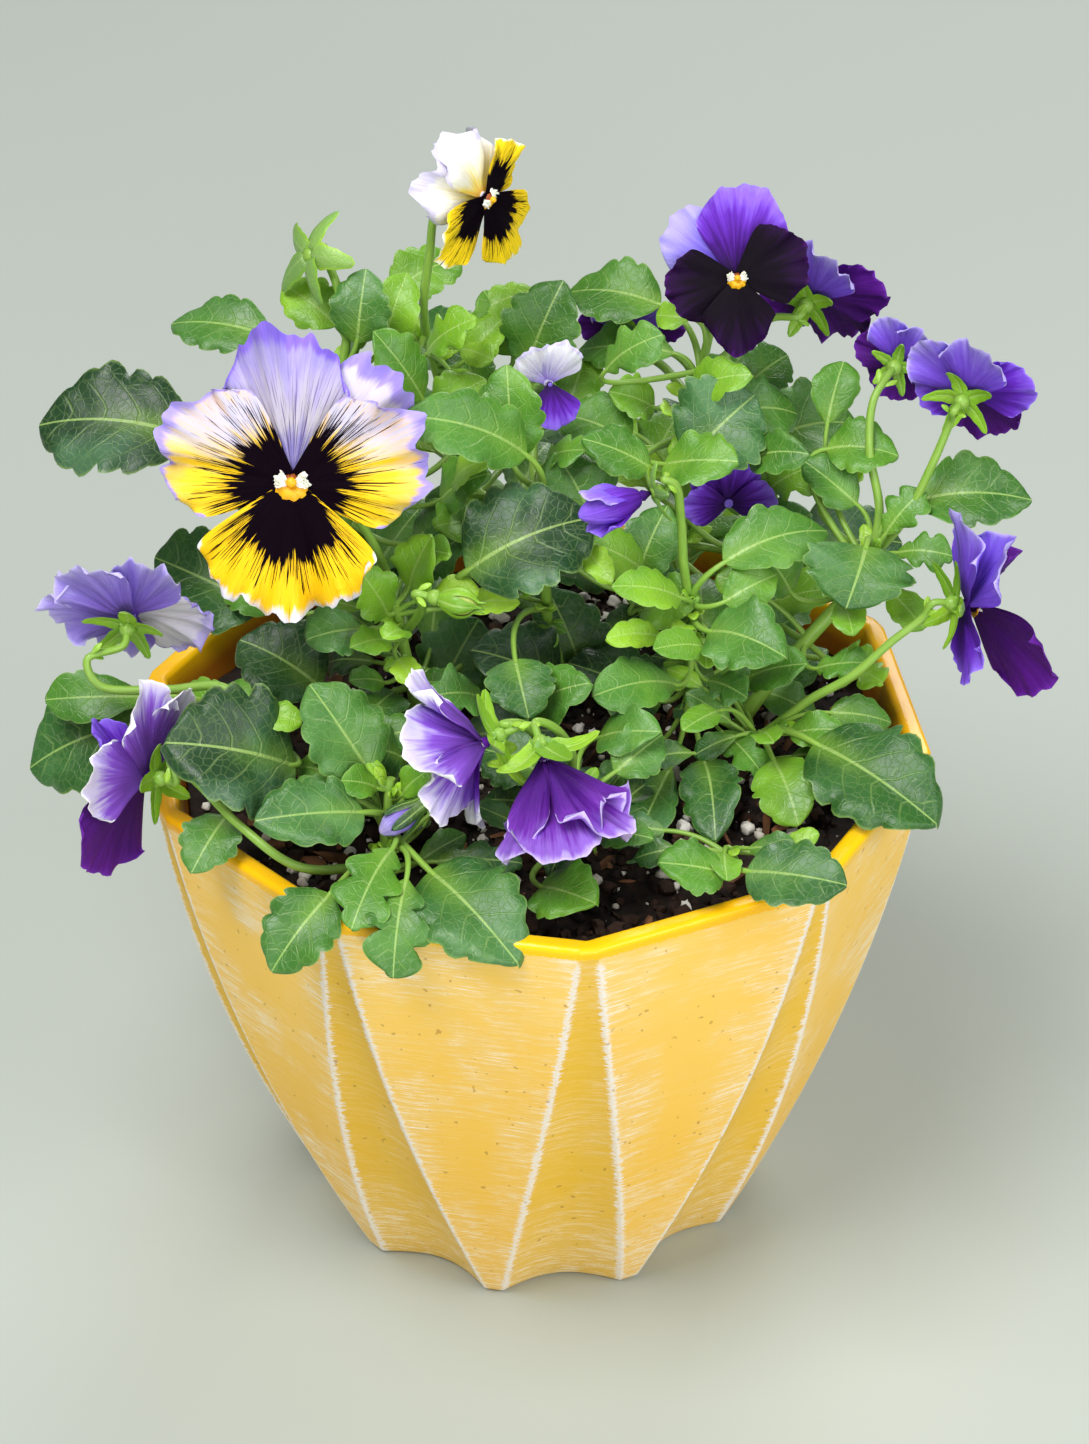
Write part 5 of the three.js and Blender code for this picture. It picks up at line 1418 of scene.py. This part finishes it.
def spool(pile, hub, face, levels, kind, seed, size=1.0):
    """A short tube on a bloom's axis: levels are its heights over the hub and its radii."""
    line = np.array([hub + face * level for level, _ in levels])
    tube(pile, line, [radius * size for _, radius in levels], kind, seed, sides=12)


def sepal(pile, heart, radial, face, length, lean, width, seed, facing):
    """One pointed sepal, folded along its middle, with the short ear behind it."""
    t, u = grid(np.linspace(-SEPAL["ear"], 1, SEPAL_GRID[0]), np.linspace(-1, 1, SEPAL_GRID[1]))
    forward = radial - face * lean
    forward = forward / np.linalg.norm(forward)
    side = unit(np.cross(facing, forward))
    normal = np.cross(side, forward)
    out = np.clip(t, 0, 1)
    shape = np.where(t < 0, np.sqrt(np.clip(1 - (t / SEPAL["ear"]) ** 2, 0, 1)) * 0.7, 0)
    shape = np.where(t >= 0, np.clip(0.7 + 1.2 * t, 0, 1) * np.clip(1 - t, 0, 1) ** 0.42, shape)
    x = u * width / 2 * shape * (1 + 0.05 * np.sin(19 * t + 9 * seed))
    bend = length * ((0.06 + 0.08 * seed) * swell(out) - (0.12 * seed - 0.02) * out**2)
    # The ear turns back along the stalk.
    ear = np.clip(-t, 0, 1) * length
    points = (
        heart + forward * (out * length)[..., None] - face * (ear * 0.9)[..., None]
        + radial * (1.3 + ear * 0.22)[..., None]
        + side * (x + (seed - 0.5) * 0.2 * length * out**2)[..., None]
        - normal * (0.25 * np.abs(x) - bend)[..., None]
    )
    lie = three(u, out, 0.78 + 0.22 * seed)
    more = three(0, 0.5, np.abs(x) * 1.2)
    thin_sheet(pile, points, -normal, SEPAL["face"], SEPAL["face"], 0, lie, more)


def shut_sepal(pile, bloom, turn, length, radius_at, rng):
    """A sepal that lies close round a bud or a pod. radius_at gives the radius under it by its height."""
    hub, right, up, face = bloom_frame(bloom)
    t, u = grid(np.linspace(0, 1, SHUT_SEPAL_GRID[0]), np.linspace(-1, 1, SHUT_SEPAL_GRID[1]))
    shape = np.clip(0.8 + 1.0 * t, 0, 1) * np.clip(1 - t, 0, 1) ** 0.55
    level = -SEPAL["back"] + t * length
    radius = radius_at(level) + 0.35 + 0.9 * t**4 + 0.2 * np.abs(u)
    away = outward(turn + u * shape * 0.78, right, up)
    points = hub + face * level[..., None] + away * radius[..., None]
    lie = three(u, t, bloom.get("sepal_tone", 0.6) + 0.3 * rng.random())
    more = three(0, 0.5, np.abs(u) * 2.4)
    thin_sheet(pile, points, away, SHUT_SEPAL_FACE, SHUT_SEPAL_FACE, 0, lie, more)


def calyx(pile, bloom, rng):
    hub, right, up, face = bloom_frame(bloom)
    shut = bloom.get("shut")
    length = SEPAL["length"] * min(bloom["reach"], SEPAL["largest"]) * bloom.get("sepals", 1.0)
    heart = hub - face * SEPAL["back"]
    facing = unit(-face + bloom.get("to_light", 0.0) * LIGHT)
    for i in range(SEPAL["count"]):
        a = math.pi / 2 + 2 * math.pi * i / SEPAL["count"]
        if shut:
            shut_sepal(pile, bloom, a, length, SHUT_SHAPES[shut], rng)
            continue
        radial = right * math.cos(a) + up * math.sin(a)
        size = length * rng.uniform(0.88, 1.1)
        lean = bloom.get("lean", SEPAL["lean"])
        width = bloom.get("sepal_width", SEPAL["width"]) * length + 0.9
        sepal(pile, heart, radial, face, size, lean, width, rng.random(), facing)
    spool(pile, heart, face, CUP, 1, rng.random())
    if shut == "pod":
        levels = np.linspace(-SEPAL["back"], POD_PROFILE[0][-1], 12)
        pod = np.array([heart + face * (level + SEPAL["back"]) for level in levels])
        tube(pile, pod, pod_radius(levels), 2, 0.5, sides=14, ribs=0.05)


def pod_radius(level):
    """How thick the seed pod is at a height over its hub."""
    return np.interp(level, *POD_PROFILE)


def bud_radius(level):
    """How thick the closed bud is at a height over its hub."""
    return BUD_RADIUS * np.interp(level / BLOOMS["bud_closed"]["reach"], *BUD_PROFILE)


SHUT_SHAPES = {"pod": pod_radius, "bud": bud_radius}


def flower_stalk(pile, stem_points, flower, rng):
    share, way, bloom_name = flower
    hub, _, _, face = bloom_frame(BLOOMS[bloom_name])
    end = hub - face * (SEPAL["back"] + STALK_GAP)
    points = [stem_point(stem_points, share), *np.array(way, float), end - face * STALK_APPROACH, end]
    line = catmull_rom(points, 12 * len(points))
    radii = np.linspace(STALK_RADIUS * 1.15, STALK_RADIUS * 0.85, len(line))
    tube(pile, line, radii, 1, rng.random(), sides=8)
    # Two small bracts stand on the upper part of the stalk.
    at = int(0.7 * len(line))
    place = line[at]
    ahead = unit(line[at + 1] - place)
    out = unit(np.cross(ahead, face) + TINY)
    for way_out in (out, -out):
        foot = place + way_out * 0.8
        leaf(pile, "oval", place, foot, foot + way_out * 2.4 + ahead * 3.6, 1.8, rng, 0.1, 0.4)


def stipule(pile, place, way_out, ahead, size, rng):
    """The feathery, deeply lobed scale at a leaf's foot: one long lobe and two shorter ones on each side."""
    for turn, share in ((-0.9, 0.45), (-0.45, 0.7), (0.0, 1.0), (0.45, 0.7), (0.9, 0.45)):
        side = np.cross(ahead, way_out)
        lobe = unit(way_out * math.cos(turn) * 0.8 + side * math.sin(turn) + ahead * 0.55)
        start = place + lobe * 0.6
        tip = start + lobe * size * share
        leaf(pile, "oval", place, start, tip, size * share * 0.34 + 1.0, rng, 0.05, 0.5)


# The smaller leaves that fill the crown: the most on a stem and how many places are tried for them, the turn
# and the share of the stem from each to the next, the least and most rise and length of the stalk, length,
# tilt and width of the blade, and how far over the soil and how near the middle it stays.
LEAF_TURN = math.radians(137.5)
FILLER = {
    "count": 18, "tries": 216, "share_step": 0.382, "rise": (0, 50), "stalk": (8, 24), "length": (13, 27),
    "tilt": (-22, 34), "width": (0.5, 0.74), "oval_length": 16, "clearance": 7, "low_height": 168,
    "low_reach": 88, "high_reach": 112,
}
# Painted shade: fillers get darker from the first height down to the second.
FILLER_SHADE_HEIGHTS = (190, 155)
# How far behind a bloom, a large leaf or another filler a leaf has to stay, and from where on it is too far
# before one to matter.
BEHIND = {"bloom": 9.0, "leaf": 3.0, "filler": 1.0}
FAR_BEFORE = 70
LARGE_LEAF = 18


def shown_discs():
    """The blooms and the large leaves, as centre, radius and how far behind it a leaf has to stay."""
    discs = []
    for bloom in BLOOMS.values():
        if bloom["petals"] or bloom.get("spindle"):
            discs.append((np.array(bloom["hub"], float), bloom["reach"] * 0.95, BEHIND["bloom"]))
    for stem in STEMS.values():
        for _, base, tip, width, *_ in stem["leaves"]:
            if width >= LARGE_LEAF:
                middle = (np.array(base, float) + np.array(tip, float)) / 2
                discs.append((middle, 0.42 * math.dist(base, tip), BEHIND["leaf"]))
    return discs


def hides(point, radius, discs):
    """Whether a leaf at a point would stand before a bloom or a large leaf, or pass through it."""
    for centre, size, behind in discs:
        apart = point - centre
        toward = apart @ TO_CAMERA
        beside = np.linalg.norm(apart - TO_CAMERA * toward)
        if -behind < toward < FAR_BEFORE and beside < size + radius:
            return True
        if np.linalg.norm(apart) < 0.8 * size + radius:
            return True
    return False


def direction(turn, rise):
    """The direction at a turn round the upright axis and a rise over the level."""
    level = np.array([math.cos(turn), math.sin(turn), 0.0])
    return level * math.cos(rise) + UP * math.sin(rise)


def filler_leaves(points, rng, discs):
    """Small leaves all round a stem, in its gaps: kind, share, base, tip, width and shift of tone."""
    made = []
    for i in range(FILLER["tries"]):
        if len(made) >= FILLER["count"]:
            break
        share = 0.1 + 0.86 * ((i * FILLER["share_step"]) % 1.0)
        turn = i * LEAF_TURN + rng.uniform(-0.4, 0.4)
        rise = math.radians(rng.uniform(*FILLER["rise"]))
        gone = rng.uniform(*FILLER["stalk"]) * (1.15 - 0.4 * share)
        base = stem_point(points, share) + direction(turn, rise) * gone
        length = rng.uniform(*FILLER["length"]) * (1.1 - 0.35 * share)
        tilt = math.radians(rng.uniform(*FILLER["tilt"]))
        tip = base + direction(turn + rng.uniform(-0.5, 0.5), tilt) * length
        middle = (base + tip) / 2
        farthest = FILLER["low_reach"] if tip[2] < FILLER["low_height"] else FILLER["high_reach"]
        lowest = SOIL["top"] + FILLER["clearance"]
        if min(base[2], tip[2]) < lowest or math.hypot(tip[0], tip[1]) > farthest:
            continue
        if hides(middle, 0.3 * length, discs) or hides(tip, 2.0, discs):
            continue
        kind = "oval" if length < FILLER["oval_length"] else "lobed" if rng.random() < 0.2 else "broad"
        width = length * rng.uniform(*FILLER["width"])
        # Painted shade: low fillers get a darker tone.
        deep = smooth_step(*FILLER_SHADE_HEIGHTS, middle[2])
        made.append((kind, share, base, tip, width, 0.1 - 0.45 * float(deep)))
        discs.append((middle, 0.3 * length, BEHIND["filler"]))
    return made


# Leaves that close gaps in the crown, each on the stem that passes nearest to it: base, tip and width.
GAP_LEAVES = [
    ((-34, 6, 206), (-24, -8, 220), 12), ((-22, 22, 222), (-12, 10, 238), 13),
    ((-30, 52, 246), (-18, 44, 262), 14), ((3, 32, 222), (12, 20, 234), 13),
    ((20, 46, 244), (34, 40, 260), 15), ((70, 34, 176), (85, 24, 185), 19),
    ((84, 18, 166), (93, 4, 173), 16), ((62, 48, 186), (78, 45, 198), 19),
    ((50, 40, 176), (66, 32, 182), 18), ((-14, 24, 206), (-26, 12, 216), 17),
    ((-44, 26, 186), (-56, 16, 198), 17), ((90, 4, 170), (96, -10, 178), 12),
    ((66, 44, 206), (78, 38, 218), 16), ((82, 36, 210), (91, 30, 221), 13),
    ((10, 34, 216), (22, 28, 228), 15), ((-26, 26, 214), (-13, 18, 228), 18),
    ((-34, 30, 198), (-21, 22, 211), 18), ((-30, 16, 199), (-17, 10, 212), 18),
    ((-50, 60, 176), (-62, 74, 184), 19), ((-20, 72, 178), (-24, 90, 184), 19),
    ((14, 76, 176), (20, 94, 180), 18), ((46, 64, 176), (58, 80, 182), 19),
    ((74, 44, 172), (90, 52, 178), 17), ((-74, 36, 172), (-90, 44, 178), 17),
    ((-4, 60, 196), (2, 76, 206), 18), ((-38, 66, 200), (-48, 80, 210), 18),
    ((34, 66, 202), (42, 82, 212), 18), ((60, 50, 204), (74, 62, 212), 17),
    ((-66, 44, 206), (-80, 54, 214), 17), ((10, 66, 222), (16, 80, 232), 16),
    ((-16, 66, 226), (-22, 80, 236), 16), ((50, 56, 228), (60, 70, 236), 15),
    ((28, 40, 170), (36, 56, 174), 17), ((-34, 40, 170), (-40, 56, 174), 17),
    ((0, 34, 172), (-2, 52, 176), 17), ((44, 44, 238), (58, 36, 251), 15),
    ((60, 30, 224), (74, 20, 236), 14), ((-46, 36, 228), (-36, 22, 242), 15),
    ((-52, 58, 244), (-42, 46, 262), 14), ((0, -22, 176), (12, -32, 192), 18),
    ((-14, -18, 176), (-26, -30, 188), 17), ((18, -30, 172), (32, -42, 181), 16),
    ((-36, -34, 168), (-48, -44, 179), 16), ((-40, 14, 190), (-52, 2, 204), 16),
    ((-8, 10, 196), (4, -2, 210), 17), ((30, 6, 190), (44, -6, 200), 17),
    ((60, -6, 176), (74, -16, 186), 16),
]


def share_gap_leaves():
    """The gap leaves of each stem: for each one the share where its stalk starts, its base, tip and width."""
    shares = np.linspace(0.1, 1.0, 19)
    lines = {name: [stem_point(stem_curve(stem), share) for share in shares] for name, stem in STEMS.items()}
    owned = {name: [] for name in STEMS}
    for base, tip, width in GAP_LEAVES:
        apart = {name: [math.dist(point, base) for point in line] for name, line in lines.items()}
        owner = min(apart, key=lambda name: min(apart[name]))
        share = shares[apart[owner].index(min(apart[owner]))]
        owned[owner].append((share, base, tip, width))
    return owned


def stem_greens(name, stem, discs, extra):
    """A stem with its leaves, stalks and calyces, as one object for its node."""
    rng = random.Random(name)
    pile = Pile()
    points = stem_curve(stem)
    line = catmull_rom(points, 14 * len(points))
    radii = stem["radius"] * np.linspace(1.1, 0.85, len(line))
    tube(pile, line, radii, 1, rng.random(), sides=12, ribs=0.05)
    for i, (share, base, tip, width, *kind) in enumerate(stem["leaves"]):
        start = stem_point(points, share)
        leaf(pile, kind[0] if kind else "broad", start, base, tip, width, rng)
        # Every second leaf has a stipule, but not at the foot and at the tip.
        if i % 2 == 0 and 0.25 < share < 0.99:
            out = unit(np.array(base, float) - start)
            above = stem_point(points, min(1.0, share + 0.03))
            ahead = unit(above - start + TINY)
            stipule(pile, start + out * stem["radius"] * 0.6, out, ahead, 7.0 + 3.0 * rng.random(), rng)
    for share, base, tip, width in extra:
        kind = rng.choice(("broad", "broad", "lobed"))
        leaf(pile, kind, stem_point(points, share), base, tip, width, rng, fine=0.8)
    for kind, share, base, tip, width, tone_shift in filler_leaves(points, rng, discs):
        leaf(pile, kind, stem_point(points, share), base, tip, width, rng, tone_shift, 0.75)
    for flower in stem["flowers"]:
        flower_stalk(pile, points, flower, rng)
        calyx(pile, BLOOMS[flower[2]], rng)
    return pile.build(name.replace("stem_", "greens_"), [PAINTS["leaf"], PAINTS["stem"], PAINTS["pod"]])


# Blooms
PETAL_ROWS = 30
PETAL_COLUMNS = 34
PETAL_THICKNESS = 0.4
LARGE_BLOOM = 34
# The eye is drawn for a bloom of this reach and scaled to the others.
THROAT_REACH = 37
THROAT_KINDS = ("eye", "hollow", "beard")
BEARD_HAIRS = 34
FAN_FACE = 0.12
FAN_HEIGHTS = (1.9, 2.6, 2.9, 2.5, 1.9)
KNOB = ((2.7, 0.9), (3.6, 1.5), (4.2, 1.2), (4.6, 0.3))
# Heights over the hub and radii of the neck of each colour, and its size where the eye is hidden.
NECKS = {
    "upper": ((-2.7, 0.5), (-1.8, 0.9), (-0.6, 1.6), (0.4, 1.3)),
    "lower": ((0.8, 1.4), (1.3, 1.9), (1.8, 1.4)),
}
HIDDEN_NECK = 0.45


def petal_points(bloom, petal, s, v):
    """A petal's surface: s runs across it and v from the hub to its edge. Also the angle round the face."""
    hub, right, up, face = bloom_frame(bloom)
    reach = bloom["reach"]
    a = math.radians(petal["at"])
    radial = right * math.cos(a) + up * math.sin(a)
    lift = math.radians(petal["lift"])
    along = radial * math.cos(lift) + face * math.sin(lift)
    normal = face * math.cos(lift) - radial * math.sin(lift)
    across = np.cross(along, normal)
    level = HUB_LEVEL[petal["part"]]
    length = petal["length"] * reach
    half = petal["width"] * reach / 2
    y = length * v * (1 - 0.3 * s**2 * v - 0.13 * s**6 * v**3)
    y = y + petal.get("point", 0.0) * 0.3 * length * v**3 * ((1 - np.abs(s)) ** 2 - 0.5)
    x = half * s * (0.12 + 0.88 * np.sin(math.pi / 2 * np.minimum(1, v / 0.75))) * (1 - 0.1 * s**4 * v**6)
    turn = a - np.arctan2(x, np.maximum(y, TINY))
    frill = bloom.get("frill", 0.03)
    odd = petal["at"] * 0.37
    # The frayed edge.
    bite = np.cos(11 * turn + odd) + 0.7 * np.cos(23 * turn + 2 * odd) + 0.4 * np.cos(47 * turn)
    y = y + (0.008 + 0.35 * frill) * length * v**8 * bite
    # Broad ruffles, frills that grow towards the edge, fine ribs, and pleats from the throat out.
    wave = petal["ruffle"] * reach * v**2 * np.cos(RUFFLES * turn)
    wave = wave + 0.5 * frill * reach * v**2 * np.cos(13 * turn + 2.0)
    wave = wave + frill * reach * v**6 * (np.cos(17 * turn + 0.8) + 0.7 * np.cos(31 * turn + 0.4 * odd))
    rib = (0.6 + 0.4 * np.cos(5 * turn + odd)) * np.cos(41 * turn) * np.sin(math.pi * v)
    wave = wave + 0.014 * reach * v * rib
    pleat = (0.7 + 0.3 * np.cos(4 * turn)) * np.cos(19 * turn + odd)
    wave = wave + bloom.get("pleat", 0.0) * reach * v * pleat
    layer = (petal["layer"] - level) * np.minimum(1, v / 0.25)
    z = layer + wave - petal["curl"] * length * v**3
    origin = hub + face * level
    points = origin + x[..., None] * across + y[..., None] * along + z[..., None] * normal
    return points, turn, normal


def petal_sheet(pile, bloom, petal, kind, rng):
    detail = 1.3 if bloom["reach"] > LARGE_BLOOM else 0.8
    rows, columns = int(PETAL_ROWS * detail), int(PETAL_COLUMNS * detail)
    v, s = grid(np.linspace(0, 1, rows) ** 0.85, np.linspace(-1, 1, columns))
    points, turn, normal = petal_points(bloom, petal, s, v)
    hub, _, up, _ = bloom_frame(bloom)
    high = ((points - hub) @ up) / bloom["reach"]
    rim = np.maximum(v, np.abs(s) ** 3 * np.clip(v * 1.6, 0, 1))
    # The whole part of lie.z is a seed; its fraction is how far a point is from the petal's middle line.
    lie = three(turn, v, rng.randrange(1, 30) + 0.8 * np.abs(s))
    half = PETAL_THICKNESS / 2
    thin_sheet(pile, points, normal, half, half, kind, lie, three(0, rim, high))


def fan(pile, hub, axes, middle, spread, radius, levels, jag, kind, seed):
    """A small fan of petal round the eye: levels are its heights over the hub from its foot to its rim."""
    right, up, face = axes
    r, a = grid(np.linspace(0.05, 1, FAN_GRID[0]), np.linspace(-spread, spread, FAN_GRID[1]))
    turn = middle + a
    jagged = 1 + jag * np.cos(9 * turn) + 0.5 * jag * np.cos(23 * turn)
    shape = radius * jagged * (1 - 0.12 * (a / spread) ** 4)
    level = np.interp(r, np.linspace(0, 1, len(levels)), levels)
    points = hub + outward(turn, right, up) * (r * shape)[..., None] + face * level[..., None]
    lie = three(turn, r, seed)
    normal = np.broadcast_to(face, points.shape)
    thin_sheet(pile, points, normal, FAN_FACE, FAN_FACE, kind, lie, lie * 0)


def throat(pile, bloom, kinds, rng):
    """The eye: a broad orange lip under a brown hollow, whose dark brown is partly its own orange-brown
    stripes and partly painted shade of the hole, and a white beard with fine hairs on each side.
    """
    hub, right, up, face = bloom_frame(bloom)
    axes = (right, up, face)
    size = bloom["reach"] / THROAT_REACH
    high = np.array(FAN_HEIGHTS)
    fan(pile, hub - up * 0.4 * size, axes, -math.pi / 2, 1.75, 4.6 * size, high, 0.07, kinds["eye"], 0.2)
    # The hollow: its own stripes, darkened in part as painted shade of the hole.
    fan(pile, hub, axes, math.pi / 2, 1.1, 2.7 * size, high + 0.15, 0.05, kinds["hollow"], 0.4)
    for side in (-1, 1):
        middle = math.pi / 2 - side * 1.25
        fan(pile, hub, axes, middle, 0.62, 4.7 * size, high + 0.3, 0.1, kinds["beard"], 0.6)
        for _ in range(BEARD_HAIRS):
            turn = middle + rng.uniform(-0.6, 0.6)
            away = right * math.cos(turn) + up * math.sin(turn)
            root = hub + face * 2.9 + away * rng.uniform(1.6, 4.4) * size
            tip = root + (face * rng.uniform(0.5, 1.3) + away * rng.uniform(-0.3, 0.8)) * size
            radii = np.array([0.3, 0.26, 0.1]) * size
            tube(pile, np.array([root, (root + tip) / 2, tip]), radii, kinds["beard"], 0.5, sides=5)
    spool(pile, hub + up * 0.6 * size, face, KNOB, kinds["eye"], 0.4, size)


def bud_sheath(pile, bloom, kind, rng):
    """Furled petals: three overlapping wraps round the bud's axis."""
    hub, right, up, face = bloom_frame(bloom)
    v, s = grid(np.linspace(0, 1, FURL_GRID[0]), np.linspace(-1, 1, FURL_GRID[1]))
    for i in range(3):
        turn = i * 2 * math.pi / 3 + s * 1.35 + 0.9 * v
        radius = bloom["spindle"] * np.interp(v, *FURL_PROFILE) * (1 + 0.09 * s - 0.03 * i)
        radius = radius * (1 + 0.03 * np.cos(17 * turn) * v)
        away = outward(turn, right, up)
        points = hub + face * (v * bloom["reach"])[..., None] + away * radius[..., None]
        lie = three(turn, 0.35 + 0.65 * v, rng.randrange(1, 30) + 0.2)
        half = PETAL_THICKNESS / 2
        thin_sheet(pile, points, away, half, half, kind, lie, three(0, v, 0))


def neck(pile, bloom, part, kind, size):
    """Where the petals of one colour meet; the upper ones' narrows back into the calyx."""
    hub, _, _, face = bloom_frame(bloom)
    spool(pile, hub, face, NECKS[part], kind, 0.3, size)


# Blooms whose eye the photo doesn't show.
HIDDEN_THROATS = (
    "bloom_front_hanging", "bloom_front_side", "bloom_back_hidden", "bloom_centre_hidden",
    "bloom_centre_white",
)


def bloom_petals(name, bloom, part):
    """The petals of one colour of a bloom, as one object for that node."""
    rng = random.Random(name + part)
    petals = [petal for petal in bloom["petals"] if petal["part"] == part]
    looks = sorted({petal["look"] for petal in petals}) or ["lilac"]
    paints = [PETAL_PAINTS[look] for look in looks]
    throat_hidden = name in HIDDEN_THROATS
    pile = Pile()
    for petal in petals:
        petal_sheet(pile, bloom, petal, looks.index(petal["look"]), rng)
    neck(pile, bloom, part, 0, HIDDEN_NECK if part == "lower" and throat_hidden else 1.0)
    if bloom.get("spindle"):
        bud_sheath(pile, bloom, 0, rng)
    if part == "lower" and not throat_hidden:
        kinds = {kind: len(paints) + i for i, kind in enumerate(THROAT_KINDS)}
        paints += [PAINTS[kind] for kind in THROAT_KINDS]
        throat(pile, bloom, kinds, rng)
    return pile.build(f"{name}_{part}", paints)


# Stage, in metres and watts
FLOOR_REACH = 8.0
SKY_STRENGTH = 0.25
LIT_POINT = (0, 0, 0.15)
# Name, place, size, power and colour.
LIGHTS = [
    ("key", (-0.6, -0.65, 2.0), 1.2, 40, (1.0, 0.995, 0.99)),
    ("fill", (1.3, -0.9, 1.1), 1.2, 14, (0.98, 0.99, 1.0)),
    ("front", (0.2, -1.9, 0.6), 1.2, 16, (1.0, 1.0, 1.0)),
    ("back", (0.6, 1.8, 1.6), 1.2, 24, (1.0, 1.0, 1.0)),
]


def make_camera():
    camera = bpy.data.cameras.new("camera")
    camera.sensor_fit = "VERTICAL"
    camera.sensor_height = SENSOR
    camera.lens = FOCAL_PIXELS / PHOTO_HEIGHT * SENSOR
    camera.clip_end = 20
    holder = add_object("camera", camera)
    away = Vector(TO_CAMERA) * CAMERA_DISTANCE * MM
    holder.location = Vector(CAMERA_TARGET) * MM + away
    holder.rotation_euler = (math.pi / 2 - CAMERA_ELEVATION, 0, 0)
    bpy.context.scene.camera = holder


def area_light(name, place, size, power, colour):
    light = bpy.data.lights.new(name, "AREA")
    light.shape = "DISK"
    light.size = size
    light.energy = power
    light.color = colour
    holder = add_object(name, light)
    holder.location = place
    holder.rotation_euler = (Vector(LIT_POINT) - Vector(place)).to_track_quat("-Z", "Y").to_euler()


def make_stage():
    mesh = bpy.data.meshes.new("floor")
    corners = [(x * FLOOR_REACH, y * FLOOR_REACH, 0) for x, y in ((-1, -1), (1, -1), (1, 1), (-1, 1))]
    mesh.from_pydata(corners, [], [(0, 1, 2, 3)])
    mesh.materials.append(floor_paint())
    floor = add_object("floor", mesh)
    world = bpy.data.worlds.new("sky")
    world.use_nodes = True
    background = world.node_tree.nodes["Background"]
    background.inputs[0].default_value = srgb(226, 230, 226)
    background.inputs[1].default_value = SKY_STRENGTH
    bpy.context.scene.world = world
    for light in LIGHTS:
        area_light(*light)
    bpy.context.scene.view_settings.view_transform = "Standard"


def dress(piece, node):
    """Lets a piece stand for its CAD node."""
    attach(piece, "root")
    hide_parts(node)


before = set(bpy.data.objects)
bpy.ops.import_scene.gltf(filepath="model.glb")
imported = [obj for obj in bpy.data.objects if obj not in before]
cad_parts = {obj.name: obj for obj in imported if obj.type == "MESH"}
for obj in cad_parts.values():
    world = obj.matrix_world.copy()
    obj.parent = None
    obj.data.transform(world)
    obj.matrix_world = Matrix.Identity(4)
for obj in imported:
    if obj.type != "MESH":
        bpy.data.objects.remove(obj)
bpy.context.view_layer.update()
make_camera()
make_stage()
PAINTS = {
    "leaf": leaf_paint(),
    "stem": stem_paint("stem_green", srgb(104, 150, 44), srgb(156, 196, 84)),
    "pod": stem_paint("pod_green", srgb(150, 178, 60), srgb(196, 208, 110)),
    "eye": stem_paint("eye_yellow", srgb(248, 152, 6), srgb(255, 200, 20)),
    # The hollow's dark brown is partly painted shade of the hole in the throat.
    "hollow": stem_paint("throat_brown", srgb(70, 26, 8), srgb(196, 96, 16)),
    "beard": stem_paint("beard_white", srgb(240, 236, 214), srgb(252, 250, 240)),
}
PETAL_PAINTS = {look: petal_paint(look) for look in PETAL_LOOKS}

dress(make_pot(), "planter")
dress(make_soil(), "soil")
perlite = make_perlite()
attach(perlite, "root")
discs = shown_discs()
gap_leaves = share_gap_leaves()
for name, stem in STEMS.items():
    dress(stem_greens(name, stem, discs, gap_leaves[name]), name)
for name, bloom in BLOOMS.items():
    for part in ("upper", "lower"):
        node = f"{name}_{part}_petals"
        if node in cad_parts:
            dress(bloom_petals(name, bloom, part), node)
